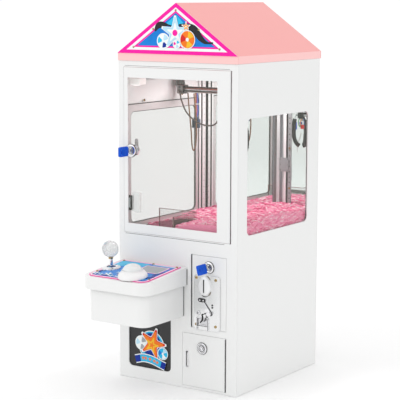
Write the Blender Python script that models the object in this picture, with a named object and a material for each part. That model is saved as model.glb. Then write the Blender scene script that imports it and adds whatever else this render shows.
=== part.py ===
"""A small claw crane machine with a house-shaped roof, built from its separate sheet-metal, acrylic and
mechanical pieces. Lengths are in millimetres and MM turns them into Blender's metres. +X is to the right of
someone playing, -Y is the front and +Z is up. The origin is the centre of the cabinet's footprint."""

from math import atan2, copysign, cos, hypot, pi, radians, sin

import bmesh
import bpy
from mathutils import Matrix, Vector

MM = 0.001
GAP = 0.3            # between pieces that touch
SHEET = 2.0          # cabinet sheet steel

# Cabinet and roof
HALF_WIDTH = 150.0
HALF_DEPTH = 165.0
CABINET_TOP = 684.0
EAVES = 700.0
RIDGE = 805.0
ROOF_SHEET = 1.6
DECK_TOP = 302.0
INNER_X = HALF_WIDTH - SHEET
INNER_Y = HALF_DEPTH - SHEET
FRONT = -HALF_DEPTH
FRONT_BACK = FRONT + SHEET
PAN_HEIGHT = 18.0

# Side windows
WINDOW_Y = (-128.6, 118.3)
WINDOW_Z = (331.4, 572.6)
WINDOW_CORNER = 12.0
PANE = 2.0

# Doors: outline (x low, x high, z low, z high) of each, and the distance of its pins from its edges
FRONT_DOOR = (-136.7, 132.9, 319.5, 670.3)
GLASS_OPENING = (-126.6, 100.1, 338.7, 648.6)
COIN_DOOR = (38.5, 124.0, 134.4, 287.5)
SERVICE_DOOR = (15.2, 122.6, 6.0, 119.0)
PRIZE_OPENING = (-126.0, -15.0, 27.0, 148.0)
PIN_INSET = 2.5
PIN_Y = FRONT + 4.5
PIN_RADIUS = 1.4
HINGE_SIDE_GAP = 2.3
LATCH_SIDE_GAP = 0.6
FLANGE_DEPTH = 10.0
LUG = 1.5

# Locks
FRONT_LOCK = (-117.9, 494.3)
COIN_LOCK = (81.8, 264.5)
SERVICE_LOCK = (65.1, 90.8)
LOCK_BODY_RADIUS = 9.0
LOCK_PLUG_RADIUS = 6.0

# Prize chute and flap
CHUTE_X = (-114.0, -18.0)
CHUTE_Y = (-158.0, -70.0)
GUARD_TOP = 360.0
DOOR_CLEAR_Y = -154.0   # nothing inside the cabin reaches nearer to the glass door
FLAP_PIN_Y = -161.6
FLAP_PIN_Z = 151.0
CHEEK_LEFT = -136.0
CHEEK_RIGHT = -9.5

# Console
LID_X = (-142.0, 26.0)
LID_FRONT = -310.5
LID_BOTTOM = 220.0
LID_CORNER = 25.0
PANEL_BACK_Z = 259.0
PANEL_TILT = radians(5.15)
BOX_X = (-132.0, 18.0)
BOX_FRONT = -302.0
BOX_BOTTOM = 153.0
STICK = (-114.0, -240.0)
BUTTON = (-30.0, -278.0)
BALL_RADIUS = 17.5
BALL_HEIGHT = 43.0

# Crane
RAIL_Y = (-112.0, 152.0)
RAIL_Z = (640.0, 656.0)
BEAM_Y = (32.0, 42.0)
BEAM_Z = (606.0, 620.0)
CLAW = (31.0, BEAM_Y[0] - 11.5)   # the lift hangs in front of the beam
CLAW_PIVOT_Z = 545.0
CLAW_PIVOT_RADIUS = 15.0
PRONGS = 3
PRONG_LINE = (
    (14.0, 2.0), (17.0, -7.0), (17.9, -22.0), (18.2, -42.0), (17.0, -57.0), (12.5, -67.5), (7.0, -73.5),
)
PRONG_WIDTH = 8.0
PRONG_SHEET = 3.0

ROUND = 24           # sides of a medium round piece


def clear_scene():
    for obj in list(bpy.data.objects):
        bpy.data.objects.remove(obj)


def material(name, colour, roughness=0.4, metallic=0.0, transmission=0.0):
    made = bpy.data.materials.new(name)
    made.use_nodes = True
    shader = made.node_tree.nodes["Principled BSDF"]
    shader.inputs["Base Color"].default_value = (*colour, 1.0)
    shader.inputs["Roughness"].default_value = roughness
    shader.inputs["Metallic"].default_value = metallic
    shader.inputs["Transmission Weight"].default_value = transmission
    made.diffuse_color = (*colour, 1.0)
    return made


WHITE_PAINT = ((0.92, 0.92, 0.93), 0.25)
PINK_PAINT = ((0.93, 0.42, 0.42), 0.4)
CLEAR = ((0.95, 0.97, 0.97), 0.05, 0.0, 0.9)
CHROME = ((0.85, 0.85, 0.86), 0.12, 1.0)
STEEL = ((0.62, 0.62, 0.64), 0.35, 1.0)
BLACK = ((0.03, 0.03, 0.035), 0.45)
WHITE_PLASTIC = ((0.9, 0.9, 0.9), 0.35)
BLUE = ((0.02, 0.12, 0.75), 0.4)


def finish(obj, look):
    """Gives an object its own material and keeps its round faces smooth."""
    obj.data.materials.append(material(obj.name, *look))
    if obj.type == "MESH":
        obj.data.shade_smooth()
        obj.data.set_sharp_from_angle(angle=radians(35))
    return obj


def new_object(name, mesh_maker):
    mesh = bpy.data.meshes.new(name)
    shape = bmesh.new()
    mesh_maker(shape)
    bmesh.ops.recalc_face_normals(shape, faces=shape.faces)
    shape.transform(Matrix.Scale(MM, 4))
    shape.to_mesh(mesh)
    shape.free()
    obj = bpy.data.objects.new(name, mesh)
    bpy.context.scene.collection.objects.link(obj)
    return obj


def axis_frame(axis):
    """Unit vectors (across, up, along) of an extrusion along a world axis."""
    x, y, z = Vector((1, 0, 0)), Vector((0, 1, 0)), Vector((0, 0, 1))
    return {"X": (y, z, x), "Y": (x, z, y), "Z": (x, y, z)}[axis]


def prism(name, outline, axis, start, end):
    """An outline of (across, up) points extruded along a world axis."""
    across, up, along = axis_frame(axis)

    def make(shape):
        verts = [shape.verts.new(across * a + up * u + along * start) for a, u in outline]
        face = shape.faces.new(verts)
        grown = bmesh.ops.extrude_face_region(shape, geom=[face])["geom"]
        bmesh.ops.translate(
            shape, verts=[v for v in grown if isinstance(v, bmesh.types.BMVert)], vec=along * (end - start)
        )

    return new_object(name, make)


def rectangle(low_a, high_a, low_u, high_u, corner=0.0, steps=4, corners="all"):
    """A rectangle's outline, with round corners where asked: all, or only its bottom two."""
    if not corner:
        return [(low_a, low_u), (high_a, low_u), (high_a, high_u), (low_a, high_u)]
    points = []
    places = [
        (low_a + corner, low_u + corner, pi, True),
        (high_a - corner, low_u + corner, 1.5 * pi, True),
        (high_a - corner, high_u - corner, 0.0, corners == "all"),
        (low_a + corner, high_u - corner, 0.5 * pi, corners == "all"),
    ]
    for a, u, turn, is_round in places:
        if is_round:
            for step in range(steps + 1):
                angle = turn + step * 0.5 * pi / steps
                points.append((a + corner * cos(angle), u + corner * sin(angle)))
        else:
            outward = turn + 0.25 * pi
            points.append((a + copysign(corner, cos(outward)), u + copysign(corner, sin(outward))))
    return points


def circle(centre, radius, sides=ROUND, stretch=1.0):
    a, u = centre
    return [
        (a + radius * cos(2 * pi * side / sides), u + stretch * radius * sin(2 * pi * side / sides))
        for side in range(sides)
    ]


def block(name, x, y, z):
    return prism(name, rectangle(*x, *y), "Z", *z)


def rod(name, axis, centre, radius, start, end, sides=ROUND):
    return prism(name, circle(centre, radius, sides), axis, start, end)


def turned(name, profile, origin, sides=ROUND, tilt=None):
    """A solid turned from (radius, height) points about a line through origin, upright unless tilted.
    The profile runs from the bottom of the axis to the top of the axis."""

    def make(shape):
        rings = []
        for radius, height in profile:
            if radius < 1e-6:
                rings.append([shape.verts.new((0, 0, height))])
            else:
                rings.append([shape.verts.new((a, u, height)) for a, u in circle((0, 0), radius, sides)])
        for low, high in zip(rings, rings[1:]):
            for side in range(sides):
                after = (side + 1) % sides
                lower = [low[side % len(low)], low[after % len(low)]]
                upper = [high[after % len(high)], high[side % len(high)]]
                shape.faces.new(list(dict.fromkeys(lower + upper)))
        if len(rings[0]) > 1:
            shape.faces.new(rings[0])
        if len(rings[-1]) > 1:
            shape.faces.new(rings[-1])
        turn = tilt.to_4x4() if tilt else Matrix.Identity(4)
        shape.transform(Matrix.Translation(origin) @ turn)

    return new_object(name, make)


def boolean(obj, other, operation):
    modifier = obj.modifiers.new(f"{operation.lower()} {other.name}", "BOOLEAN")
    modifier.operation = operation
    modifier.object = other
    other.hide_render = True
    other.display_type = "WIRE"
    return obj


def cut(obj, *cutters):
    for cutter in cutters:
        boolean(obj, cutter, "DIFFERENCE")
    return obj


def join(obj, *others):
    for other in others:
        boolean(obj, other, "UNION")
    return obj


def helper(kind, *args, **more):
    """A cutter or a joined shape, named after its kind."""
    return kind("helper", *args, **more)


def pivot(name, place, pieces):
    """An empty on a joint's axis, with the moving pieces under it."""
    empty = bpy.data.objects.new(f"axis_{name}", None)
    empty.empty_display_size = 10 * MM
    empty.location = Vector(place) * MM
    bpy.context.scene.collection.objects.link(empty)
    for piece in pieces:
        piece.parent = empty
        piece.matrix_parent_inverse = Matrix.Translation(-empty.location)
    return empty


# Cabinet ------------------------------------------------------------------------------------------------

def tray(name, x, y, z, wall):
    """A box with an open top."""
    body = block(name, x, y, z)
    inner_x, inner_y = (x[0] + wall, x[1] - wall), (y[0] + wall, y[1] - wall)
    return cut(body, helper(block, inner_x, inner_y, (z[0] + wall, z[1] + 1)))


def base_pan():
    inset = SHEET + GAP
    x = (-HALF_WIDTH + inset, HALF_WIDTH - inset)
    clear = 2.5   # behind the swing of the service door's edge
    y = (FRONT + FLANGE_DEPTH + clear, HALF_DEPTH - inset)
    return finish(tray("base_pan", x, y, (0, PAN_HEIGHT), SHEET), STEEL)


def side_wall(name, side):
    x = sorted((side * HALF_WIDTH, side * INNER_X))
    y = INNER_Y - GAP
    wall = prism(name, rectangle(-y, y, 0, CABINET_TOP), "X", *x)
    window = rectangle(*WINDOW_Y, *WINDOW_Z, WINDOW_CORNER)
    cut(wall, helper(prism, window, "X", x[0] - 1, x[1] + 1))
    return finish(wall, WHITE_PAINT)


def side_pane(name, side):
    inner = INNER_X - GAP
    x = sorted((side * inner, side * (inner - PANE)))
    outline = rectangle(WINDOW_Y[0] - 12, WINDOW_Y[1] + 12, WINDOW_Z[0] - 13, WINDOW_Z[1] + 17.4)
    return finish(prism(name, outline, "X", *x), CLEAR)


INLET = (96.0, 60.0)
INLET_SIZE = (27.4, 20.0)
ROCKER = (96.0, 86.0)
ROCKER_SIZE = (21.0, 15.0)


def back_wall():
    wall = prism("back_wall", rectangle(-HALF_WIDTH, HALF_WIDTH, 0, CABINET_TOP), "Y", INNER_Y, HALF_DEPTH)
    opening = rectangle(
        INLET[0] - INLET_SIZE[0] / 2,
        INLET[0] + INLET_SIZE[0] / 2,
        INLET[1] - INLET_SIZE[1] / 2,
        ROCKER[1] + ROCKER_SIZE[1] / 2,
    )
    cut(wall, helper(prism, opening, "Y", INNER_Y - 1, HALF_DEPTH + 1))
    return finish(wall, WHITE_PAINT)


def opening_of(door, hinge_side):
    """The front panel's opening round a door, wider on the hinge side, where the door's edge swings by."""
    low_gap = HINGE_SIDE_GAP if hinge_side < 0 else LATCH_SIDE_GAP
    high_gap = HINGE_SIDE_GAP if hinge_side > 0 else LATCH_SIDE_GAP
    low_x, high_x, low_z, high_z = door
    return rectangle(low_x - low_gap, high_x + high_gap, low_z - LATCH_SIDE_GAP, high_z + LATCH_SIDE_GAP)


def pin_x(door, hinge_side):
    return door[1] - PIN_INSET if hinge_side > 0 else door[0] + PIN_INSET


DOOR_HINGES = ((FRONT_DOOR, 1), (COIN_DOOR, -1), (SERVICE_DOOR, 1))


def front_panel():
    panel = prism("front_panel", rectangle(-HALF_WIDTH, HALF_WIDTH, 0, CABINET_TOP), "Y", FRONT, FRONT_BACK)
    for door, hinge_side in DOOR_HINGES:
        cut(panel, helper(prism, opening_of(door, hinge_side), "Y", FRONT - 1, FRONT_BACK + 1))
    prize = rectangle(*PRIZE_OPENING, 10, corners="bottom")
    cut(panel, helper(prism, prize, "Y", FRONT - 1, FRONT_BACK + 1))
    # A small lug over and under each door carries its hinge pins.
    for door, hinge_side in DOOR_HINGES:
        x = pin_x(door, hinge_side)
        below = max(door[2] - 1.2 - LUG, 0.3)
        for low in (below, door[3] + 1.2):
            join(panel, helper(block, (x - 5, x + 7), (FRONT + 0.5, PIN_Y + 4), (low, low + LUG)))
            cut(panel, helper(rod, "Z", (x, PIN_Y), PIN_RADIUS + 0.3, low - 1, low + LUG + 1, 12))
    return finish(panel, WHITE_PAINT)


def playfield_deck():
    x, y = INNER_X - GAP, INNER_Y - GAP
    deck = block("playfield_deck", (-x, x), (-y, y), (DECK_TOP - SHEET, DECK_TOP))
    cut(deck, helper(block, CHUTE_X, CHUTE_Y, (DECK_TOP - SHEET - 1, DECK_TOP + 1)))
    return finish(deck, STEEL)


def prize_chute():
    """The folded ramp under the deck's hole, between two cheeks that also carry the flap's pins."""
    top = DECK_TOP - SHEET - GAP
    back, front, foot, floor, sheet = -66.0, CHUTE_Y[0], -112.0, 22.0, 1.5
    ramp = [
        (back, top), (back - sheet, top), (back - sheet, 62.0), (foot, floor + sheet),
        (front, floor + sheet), (front, floor), (foot - 0.6, floor), (back, 61.0),
    ]
    chute = prism("prize_chute", ramp, "X", CHEEK_LEFT, CHEEK_RIGHT + sheet)
    ear = (-162.6, 158.0)   # where each cheek reaches forward to hold the flap's pin
    cheek = [(back, top), (front, top), (front, ear[1]), ear, (ear[0], floor), (back, floor)]
    for low in (CHEEK_LEFT, CHEEK_RIGHT):
        join(chute, helper(prism, cheek, "X", low, low + sheet))
        cut(chute, helper(rod, "X", (FLAP_PIN_Y, FLAP_PIN_Z), 1.4, low - 1, low + sheet + 1, 12))
    return finish(chute, STEEL)


def prize_flap():
    plate = rectangle(-129.0, -12.0, 24.0, FLAP_PIN_Z + 1.1, 8, corners="bottom")
    flap = prism("prize_flap", plate, "Y", -162.2, -160.2)
    join(flap, helper(rod, "X", (FLAP_PIN_Y, FLAP_PIN_Z), 1.1, CHEEK_LEFT + 0.2, CHEEK_RIGHT + 1.3, 12))
    return finish(flap, BLACK)


def chute_guard():
    """A clear wall, bent to an L, on the deck's two open sides of the chute hole."""
    low = DECK_TOP + GAP
    side = block("chute_guard", (-17.7, -15.2), (DOOR_CLEAR_Y, -67.0), (low, GUARD_TOP))
    join(side, helper(block, (CHUTE_X[0], -15.2), (-69.5, -67.0), (low, GUARD_TOP)))
    return finish(side, CLEAR)


def bed_height(x, y):
    """Top of the loose filler: highest at the back right, and lowest at the back left."""
    across = (x + INNER_X) / (2 * INNER_X)
    depth = (y + INNER_Y) / (2 * INNER_Y)
    swell = 6.0 * sin(9.0 * across + 2.0) * cos(7.0 * depth)
    return 322.0 + 42.0 * across ** 0.7 * (0.75 + 0.25 * depth) + swell


def plush_bed():
    edge_x = INNER_X - GAP - PANE - 1.2
    back = 159.0
    xs = [-edge_x + step * (edge_x * 2) / 14 for step in range(15)]
    inner_x, inner_y = -14.0, -65.8
    ys = [DOOR_CLEAR_Y + step * (back - DOOR_CLEAR_Y) / 14 for step in range(15)]
    xs = sorted([x for x in xs if abs(x - inner_x) > 9] + [inner_x])
    ys = sorted([y for y in ys if abs(y - inner_y) > 9] + [inner_y])
    low = DECK_TOP + GAP

    def kept(i, j):
        return xs[i] >= inner_x or ys[j] >= inner_y

    def make(shape):
        cells = [(i, j) for i in range(len(xs) - 1) for j in range(len(ys) - 1) if kept(i, j)]
        corners = {(i + a, j + b) for i, j in cells for a in (0, 1) for b in (0, 1)}
        bottom = {c: shape.verts.new((xs[c[0]], ys[c[1]], low)) for c in corners}
        top = {c: shape.verts.new((xs[c[0]], ys[c[1]], bed_height(xs[c[0]], ys[c[1]]))) for c in corners}
        for i, j in cells:
            ring = [(i, j), (i + 1, j), (i + 1, j + 1), (i, j + 1)]
            shape.faces.new([top[c] for c in ring])
            shape.faces.new([bottom[c] for c in reversed(ring)])
            for (a, b), (di, dj) in zip(zip(ring, ring[1:] + ring[:1]), ((0, -1), (1, 0), (0, 1), (-1, 0))):
                if (i + di, j + dj) not in cells:
                    shape.faces.new([bottom[a], bottom[b], top[b], top[a]])

    return finish(new_object("plush_bed", make), ((0.95, 0.35, 0.55), 0.9))


def back_mirror():
    x = INNER_X - GAP - PANE - 0.7
    mirror = block("back_mirror", (-x, x), (160.0, INNER_Y - GAP), (DECK_TOP + GAP, 681.0))
    return finish(mirror, ((0.9, 0.9, 0.9), 0.02, 1.0))


def magnetic_catch():
    """The magnetic catch on the inner face of the glass door's pane."""
    catch = block("magnetic_catch", (-134.5, -100.5), (FRONT + 5 + GAP, FRONT + 13), (362.0, 405.0))
    return finish(catch, WHITE_PLASTIC)


def cash_box():
    return finish(tray("cash_box", (8.0, 114.0), (-148.0, 0.0), (SHEET + GAP, 62.0), SHEET), STEEL)


def control_box():
    return finish(block("control_box", (-60.0, 60.0), (60.0, 130.0), (SHEET + GAP, 90.0)), STEEL)


def power_inlet():
    """An appliance inlet: a body through the back wall, a flange, a socket, and the rocker's seat."""
    x, z = INLET
    w, h, back = INLET_SIZE[0] / 2 - GAP, INLET_SIZE[1] / 2 - GAP, HALF_DEPTH
    inlet = block("power_inlet", (x - w, x + w), (INNER_Y - 22, back + 1.0), (z - h, z + h))
    flange_z = (z - h - 6, ROCKER[1] + ROCKER_SIZE[1] / 2 + 5)
    join(inlet, helper(block, (x - w - 8, x + w + 8), (back + GAP, back + 2.8), flange_z))
    cut(inlet, helper(block, (x - w + 2, x + w - 2), (back - 13, back + 4), (z - h + 2, z + h - 2)))
    rocker_x, rocker_z = ROCKER_SIZE[0] / 2, ROCKER_SIZE[1] / 2
    seat_z = (ROCKER[1] - rocker_z, ROCKER[1] + rocker_z)
    cut(inlet, helper(block, (x - rocker_x, x + rocker_x), (back - 1, back + 4), seat_z))
    return finish(inlet, BLACK)


ROCKER_PIN_Y = HALF_DEPTH - 2.0
ROCKER_TILT = radians(8)


def power_rocker():
    """A rocker that lies tipped to its off side at rest, pivoting about its middle."""
    half = ROCKER_SIZE[1] / 2 - 1.0
    outline = [(-half, -1.0), (-half, 6.0), (0.0, 4.6), (half, 6.0), (half, -1.0), (0.0, -3.0)]
    tipped = []
    for up, out in outline:
        y = ROCKER_PIN_Y + out * cos(ROCKER_TILT) + up * sin(ROCKER_TILT)
        z = ROCKER[1] + up * cos(ROCKER_TILT) - out * sin(ROCKER_TILT)
        tipped.append((y, z))
    half_x = ROCKER_SIZE[0] / 2 - 0.6
    return finish(prism("power_rocker", tipped, "X", ROCKER[0] - half_x, ROCKER[0] + half_x), BLACK)


# Roof ---------------------------------------------------------------------------------------------------

def roof_outline(inset=0.0, bottom=CABINET_TOP):
    slope = atan2(RIDGE - EAVES, HALF_WIDTH)
    side = HALF_WIDTH - inset
    rise = inset / cos(slope)
    eaves = EAVES - rise + inset * (RIDGE - EAVES) / HALF_WIDTH
    return [(-side, bottom), (side, bottom), (side, eaves), (0.0, RIDGE - rise), (-side, eaves)]


ROOF_FRONT = -165.2
ROOF_BACK = 168.0


def roof_shell():
    roof = prism("roof_shell", roof_outline(0, CABINET_TOP + GAP), "Y", ROOF_FRONT, ROOF_BACK)
    cut(roof, helper(prism, roof_outline(ROOF_SHEET, CABINET_TOP - 5), "Y", ROOF_FRONT - 1, ROOF_BACK + 1))
    return finish(roof, PINK_PAINT)


def gable(name, start, end, look):
    return finish(prism(name, roof_outline(0, CABINET_TOP + GAP), "Y", start, end), look)


def gable_graphic_panel():
    panel = prism(
        "gable_graphic_panel",
        [(-HALF_WIDTH, EAVES), (HALF_WIDTH, EAVES), (0.0, RIDGE)],
        "Y",
        ROOF_FRONT - 2 * GAP - ROOF_SHEET - 1.5,
        ROOF_FRONT - 2 * GAP - ROOF_SHEET,
    )
    return finish(panel, ((0.95, 0.08, 0.45), 0.2))


# Doors --------------------------------------------------------------------------------------------------

def door_skin(name, door, hinge_side, look):
    """A pan: front sheet with a flange all round, and a hinge pin that stands out at the top and bottom."""
    body = prism(name, rectangle(door[0], door[1], door[2], door[3]), "Y", FRONT, FRONT + FLANGE_DEPTH)
    inner = rectangle(door[0] + SHEET, door[1] - SHEET, door[2] + SHEET, door[3] - SHEET)
    cut(body, helper(prism, inner, "Y", FRONT_BACK, FRONT + FLANGE_DEPTH + 1))
    x = pin_x(door, hinge_side)
    low_reach = min(1.2 + LUG + 0.8, door[2] - 0.2)
    join(body, helper(rod, "Z", (x, PIN_Y), PIN_RADIUS, door[2] - low_reach, door[2] + 3, 12))
    join(body, helper(rod, "Z", (x, PIN_Y), PIN_RADIUS, door[3] - 3, door[3] + 1.2 + LUG + 0.8, 12))
    return finish(body, look)


def lock_hole(place):
    return helper(rod, "Y", place, LOCK_BODY_RADIUS + GAP, FRONT - 5, FRONT + 20)


def front_door():
    frame = door_skin("front_door_frame", FRONT_DOOR, 1, WHITE_PAINT)
    cut(frame, lock_hole(FRONT_LOCK))
    cut(frame, helper(prism, rectangle(*GLASS_OPENING), "Y", FRONT - 1, FRONT_BACK + 1))
    low_x, high_x = FRONT_DOOR[0] + SHEET + GAP, GLASS_OPENING[1] + 7
    low_z, high_z = GLASS_OPENING[2] - 8, GLASS_OPENING[3] + 8
    outline = rectangle(low_x, high_x, low_z, high_z)
    glass = prism("front_door_glass", outline, "Y", FRONT_BACK + GAP, FRONT + 5)
    cut(glass, lock_hole(FRONT_LOCK))
    return [frame, finish(glass, CLEAR)]


def lock(prefix, place, ring_radius, back, cam_length, cam_up):
    """A cam lock: a flanged housing through the door, and a turning cylinder with a cam behind it."""
    x, z = place
    face = FRONT
    housing = rod(f"{prefix}_lock_housing", "Y", place, LOCK_BODY_RADIUS, face - 2, back)
    join(housing, helper(rod, "Y", place, ring_radius, face - 3.0, face - GAP))
    cut(housing, helper(rod, "Y", place, LOCK_PLUG_RADIUS + 0.4, face - 5, back + 1))
    cylinder = rod(f"{prefix}_lock_cylinder", "Y", place, LOCK_PLUG_RADIUS, face - 3.4, back + 2)
    cam_y = (back + 0.5, back + 2.0)
    if cam_up:
        join(cylinder, helper(block, (x - 5, x + 5), cam_y, (z - 5, z + cam_length)))
    else:
        join(cylinder, helper(block, (x - cam_length, x + 5), cam_y, (z - 5, z + 5)))
    return [finish(housing, CHROME), finish(cylinder, CHROME)]


KEY_REACH = 42.0     # how far a key stands out of a door


def key(name, place, turn):
    """A flat key standing out of the cylinder: a blade and a broad plastic head."""
    x, z = place
    face = FRONT
    turned_by = Matrix.Translation((x, 0, z)) @ Matrix.Rotation(turn, 4, "Y")

    def make(shape):
        blade = ((-1.2, 1.2), (face - 14, face - 3.4 - GAP), (-4, 4))
        head = ((-2.6, 2.6), (face - KEY_REACH, face - 12), (-10.5, 10.5))
        for spread, reach, height in (blade, head):
            made = bmesh.ops.create_cube(shape, size=1.0)["verts"]
            size = Matrix.Diagonal((spread[1] - spread[0], reach[1] - reach[0], height[1] - height[0], 1))
            middle = Vector((sum(spread) / 2, sum(reach) / 2, sum(height) / 2))
            bmesh.ops.transform(shape, matrix=turned_by @ Matrix.Translation(middle) @ size, verts=made)

    both = new_object(name, make)
    # The two boxes run into each other, so a union with a thin inner block makes them one body.
    core = new_object("helper", lambda shape: bmesh.ops.transform(
        shape,
        matrix=turned_by @ Matrix.Translation((0, face - 13, 0)) @ Matrix.Diagonal((2, 4, 6, 1)),
        verts=bmesh.ops.create_cube(shape, size=1.0)["verts"],
    ))
    boolean(both, core, "UNION")
    both.modifiers[-1].use_self = True
    return finish(both, BLUE)


COIN_SLOT = (70.0, 211.0, 239.0)
BOSS = (71.5, 225.0)
ACCEPTOR_PLATE = (45.4, 110.4, 131.0, 248.0)
REJECT = (66.0, 194.5)
RETURN_CUP = (55.5, 80.5, 139.0, 155.8)


def coin_door():
    panel = door_skin("coin_door_panel", COIN_DOOR, -1, WHITE_PAINT)
    cut(panel, lock_hole(COIN_LOCK))
    cut(panel, helper(prism, rectangle(52.0, 102.0, 137.6, 247.0), "Y", FRONT - 1, FRONT_BACK + 1))
    low, high = ACCEPTOR_PLATE[:2]
    plate_y = (FRONT - GAP - 2.0, FRONT - GAP)
    plate = prism("coin_acceptor_plate", rectangle(*ACCEPTOR_PLATE, 8), "Y", *plate_y)
    join(plate, helper(prism, circle(BOSS, 15.5, ROUND, 1.35), "Y", plate_y[0] - 4.0, plate_y[0] + 1))
    slot_x, slot_low, slot_high = COIN_SLOT
    slot_width = (slot_x - 1.5, slot_x + 1.5)
    cut(plate, helper(block, slot_width, (plate_y[0] - 6, FRONT + 2), (slot_low, slot_high)))
    reject = rectangle(REJECT[0] - 9.5, REJECT[0] + 9.5, REJECT[1] - 4, REJECT[1] + 4, 3.9)
    cut(plate, helper(prism, reject, "Y", plate_y[0] - 1, FRONT + 1))
    cut(plate, helper(prism, rectangle(*RETURN_CUP), "Y", plate_y[0] - 1, FRONT + 1))
    finish(plate, CHROME)

    body = block("coin_acceptor_body", (53.0, 101.0), (FRONT + 2.6, -116.0), (156.0, 245.0))
    coin_path = helper(block, slot_width, (FRONT, -122.0), (slot_low, slot_high))
    button_room = (REJECT[0] - 10, REJECT[0] + 10), (FRONT, FRONT + 12), (REJECT[1] - 4.6, REJECT[1] + 4.6)
    cut(body, coin_path, helper(block, *button_room))
    finish(body, BLACK)

    pill = rectangle(REJECT[0] - 8.9, REJECT[0] + 8.9, REJECT[1] - 3.4, REJECT[1] + 3.4, 3.3)
    button = prism("coin_reject_button", pill, "Y", plate_y[0] - 2.5, FRONT + 5)
    finish(button, BLACK)

    flap = prism(
        "coin_return_flap",
        rectangle(RETURN_CUP[0] + 0.8, RETURN_CUP[1] - 0.8, RETURN_CUP[2] + 0.8, RETURN_CUP[3] - 1.0),
        "Y",
        FRONT - GAP - 1.6,
        FRONT - GAP - 0.4,
    )
    finish(flap, STEEL)
    return panel, plate, body, button, flap


PULL_SLOT = (24.0, 29.5, 46.0, 80.5)


def service_door():
    panel = door_skin("service_door_panel", SERVICE_DOOR, 1, WHITE_PAINT)
    cut(panel, lock_hole(SERVICE_LOCK))
    cut(panel, helper(prism, rectangle(*PULL_SLOT, 2.7), "Y", FRONT - 1, FRONT_BACK + 1))
    return panel


# Console ------------------------------------------------------------------------------------------------

def panel_z(y, above=0.0):
    """Height of the lid's sloping top at a depth, plus a distance along its normal."""
    return PANEL_BACK_Z + (y - FRONT) * sin(PANEL_TILT) / cos(PANEL_TILT) + above / cos(PANEL_TILT)


PANEL_TURN = Matrix.Rotation(PANEL_TILT, 3, "X")


def on_panel(place):
    return Vector((place[0], place[1], panel_z(place[1])))


def front_rounded(x, front, back, corner, steps=5):
    """A console outline seen from above, with its two front corners round."""
    return rectangle(x[0], x[1], front, back, corner, steps, corners="bottom")


def sloped_cutter(above, x=(-400, 400), y=(-400, 0)):
    """A block whose underside lies on the sloping plane a distance above the lid's top."""
    side = [(y[0], panel_z(y[0], above)), (y[1], panel_z(y[1], above)), (y[1], 500), (y[0], 500)]
    return helper(prism, side, "X", *x)


def console():
    """A box under a lid with a lip all round, and a printed panel on the lid."""
    wall, lip, inset, over = 2.0, 3.0, 9.0, 270.0
    back = FRONT - GAP
    box = prism("console_box", front_rounded(BOX_X, BOX_FRONT, back, 20), "Z", BOX_BOTTOM, LID_BOTTOM - GAP)
    inner = front_rounded((BOX_X[0] + wall, BOX_X[1] - wall), BOX_FRONT + wall, back - wall, 18)
    cut(box, helper(prism, inner, "Z", BOX_BOTTOM + wall, LID_BOTTOM + 10))
    finish(box, WHITE_PAINT)

    lid = prism("console_lid", front_rounded(LID_X, LID_FRONT, back, LID_CORNER), "Z", LID_BOTTOM, over)
    cut(lid, sloped_cutter(0))
    lip_x = (LID_X[0] + lip, LID_X[1] - lip)
    lip_outline = front_rounded(lip_x, LID_FRONT + lip, back - lip, LID_CORNER - lip)
    hollow = prism("helper", lip_outline, "Z", LID_BOTTOM - 1, over)
    cut(hollow, sloped_cutter(-wall))
    cut(lid, hollow)

    print_x = (LID_X[0] + inset, LID_X[1] - inset)
    outline = front_rounded(print_x, LID_FRONT + inset, back - 8, LID_CORNER - inset)
    sticker = prism("console_graphic_panel", outline, "Z", LID_BOTTOM, over)
    under = [(-400, 0), (0, 0), (0, panel_z(0, GAP)), (-400, panel_z(-400, GAP))]
    cut(sticker, sloped_cutter(1.3), helper(prism, under, "X", -400, 400))
    for plate in (lid, sticker):
        for place, radius in ((STICK, 12.0), (BUTTON, 13.0)):
            cut(plate, helper(turned, [(radius, -10), (radius, 10)], on_panel(place), tilt=PANEL_TURN))
    finish(lid, WHITE_PAINT)
    finish(sticker, ((0.03, 0.3, 0.75), 0.25))


STICK_PIVOT = -9.0


def joystick():
    """A housing under the lid with a neck and a chrome ring above, and a gimbal and a stick inside it."""
    origin = on_panel(STICK)
    outer = [(21.0, -30), (21.0, -2.6), (11.5, -2.6), (11.5, 1.6), (19.5, 1.6), (18.5, 4.0), (9.8, 4.4)]
    housing = turned("joystick_housing", outer, origin, tilt=PANEL_TURN)
    cut(housing, helper(turned, [(17.5, -31), (17.5, -6), (8.6, -4), (8.6, 8)], origin, tilt=PANEL_TURN))
    finish(housing, CHROME)
    gimbal_z = (STICK_PIVOT - 3, STICK_PIVOT + 1)
    gimbal = turned("joystick_gimbal", [(12.5, z) for z in gimbal_z], origin, tilt=PANEL_TURN)
    cut(gimbal, helper(turned, [(8.0, STICK_PIVOT - 9), (8.0, STICK_PIVOT + 9)], origin, tilt=PANEL_TURN))
    finish(gimbal, BLACK)
    ball_low = BALL_HEIGHT - BALL_RADIUS
    shaft_profile = [
        (0, -26), (3.5, -26), (3.5, STICK_PIVOT - 4), (6.6, STICK_PIVOT - 3), (6.6, STICK_PIVOT + 3),
        (3.2, STICK_PIVOT + 5), (3.2, ball_low - 5), (5.0, ball_low - 4.6), (5.0, ball_low - 0.4),
        (0, ball_low - 0.4),
    ]
    shaft = turned("joystick_shaft", shaft_profile, origin, 16, PANEL_TURN)
    finish(shaft, CHROME)
    rings = 12
    sphere = [(0, BALL_HEIGHT - BALL_RADIUS)]
    for ring in range(1, rings):
        angle = -pi / 2 + pi * ring / rings
        sphere.append((BALL_RADIUS * cos(angle), BALL_HEIGHT + BALL_RADIUS * sin(angle)))
    sphere.append((0, BALL_HEIGHT + BALL_RADIUS))
    ball = turned("joystick_ball", sphere, origin, ROUND, PANEL_TURN)
    finish(ball, ((0.9, 0.9, 0.92), 0.05, 0.0, 0.8))
    return housing, gimbal, shaft, ball


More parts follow.
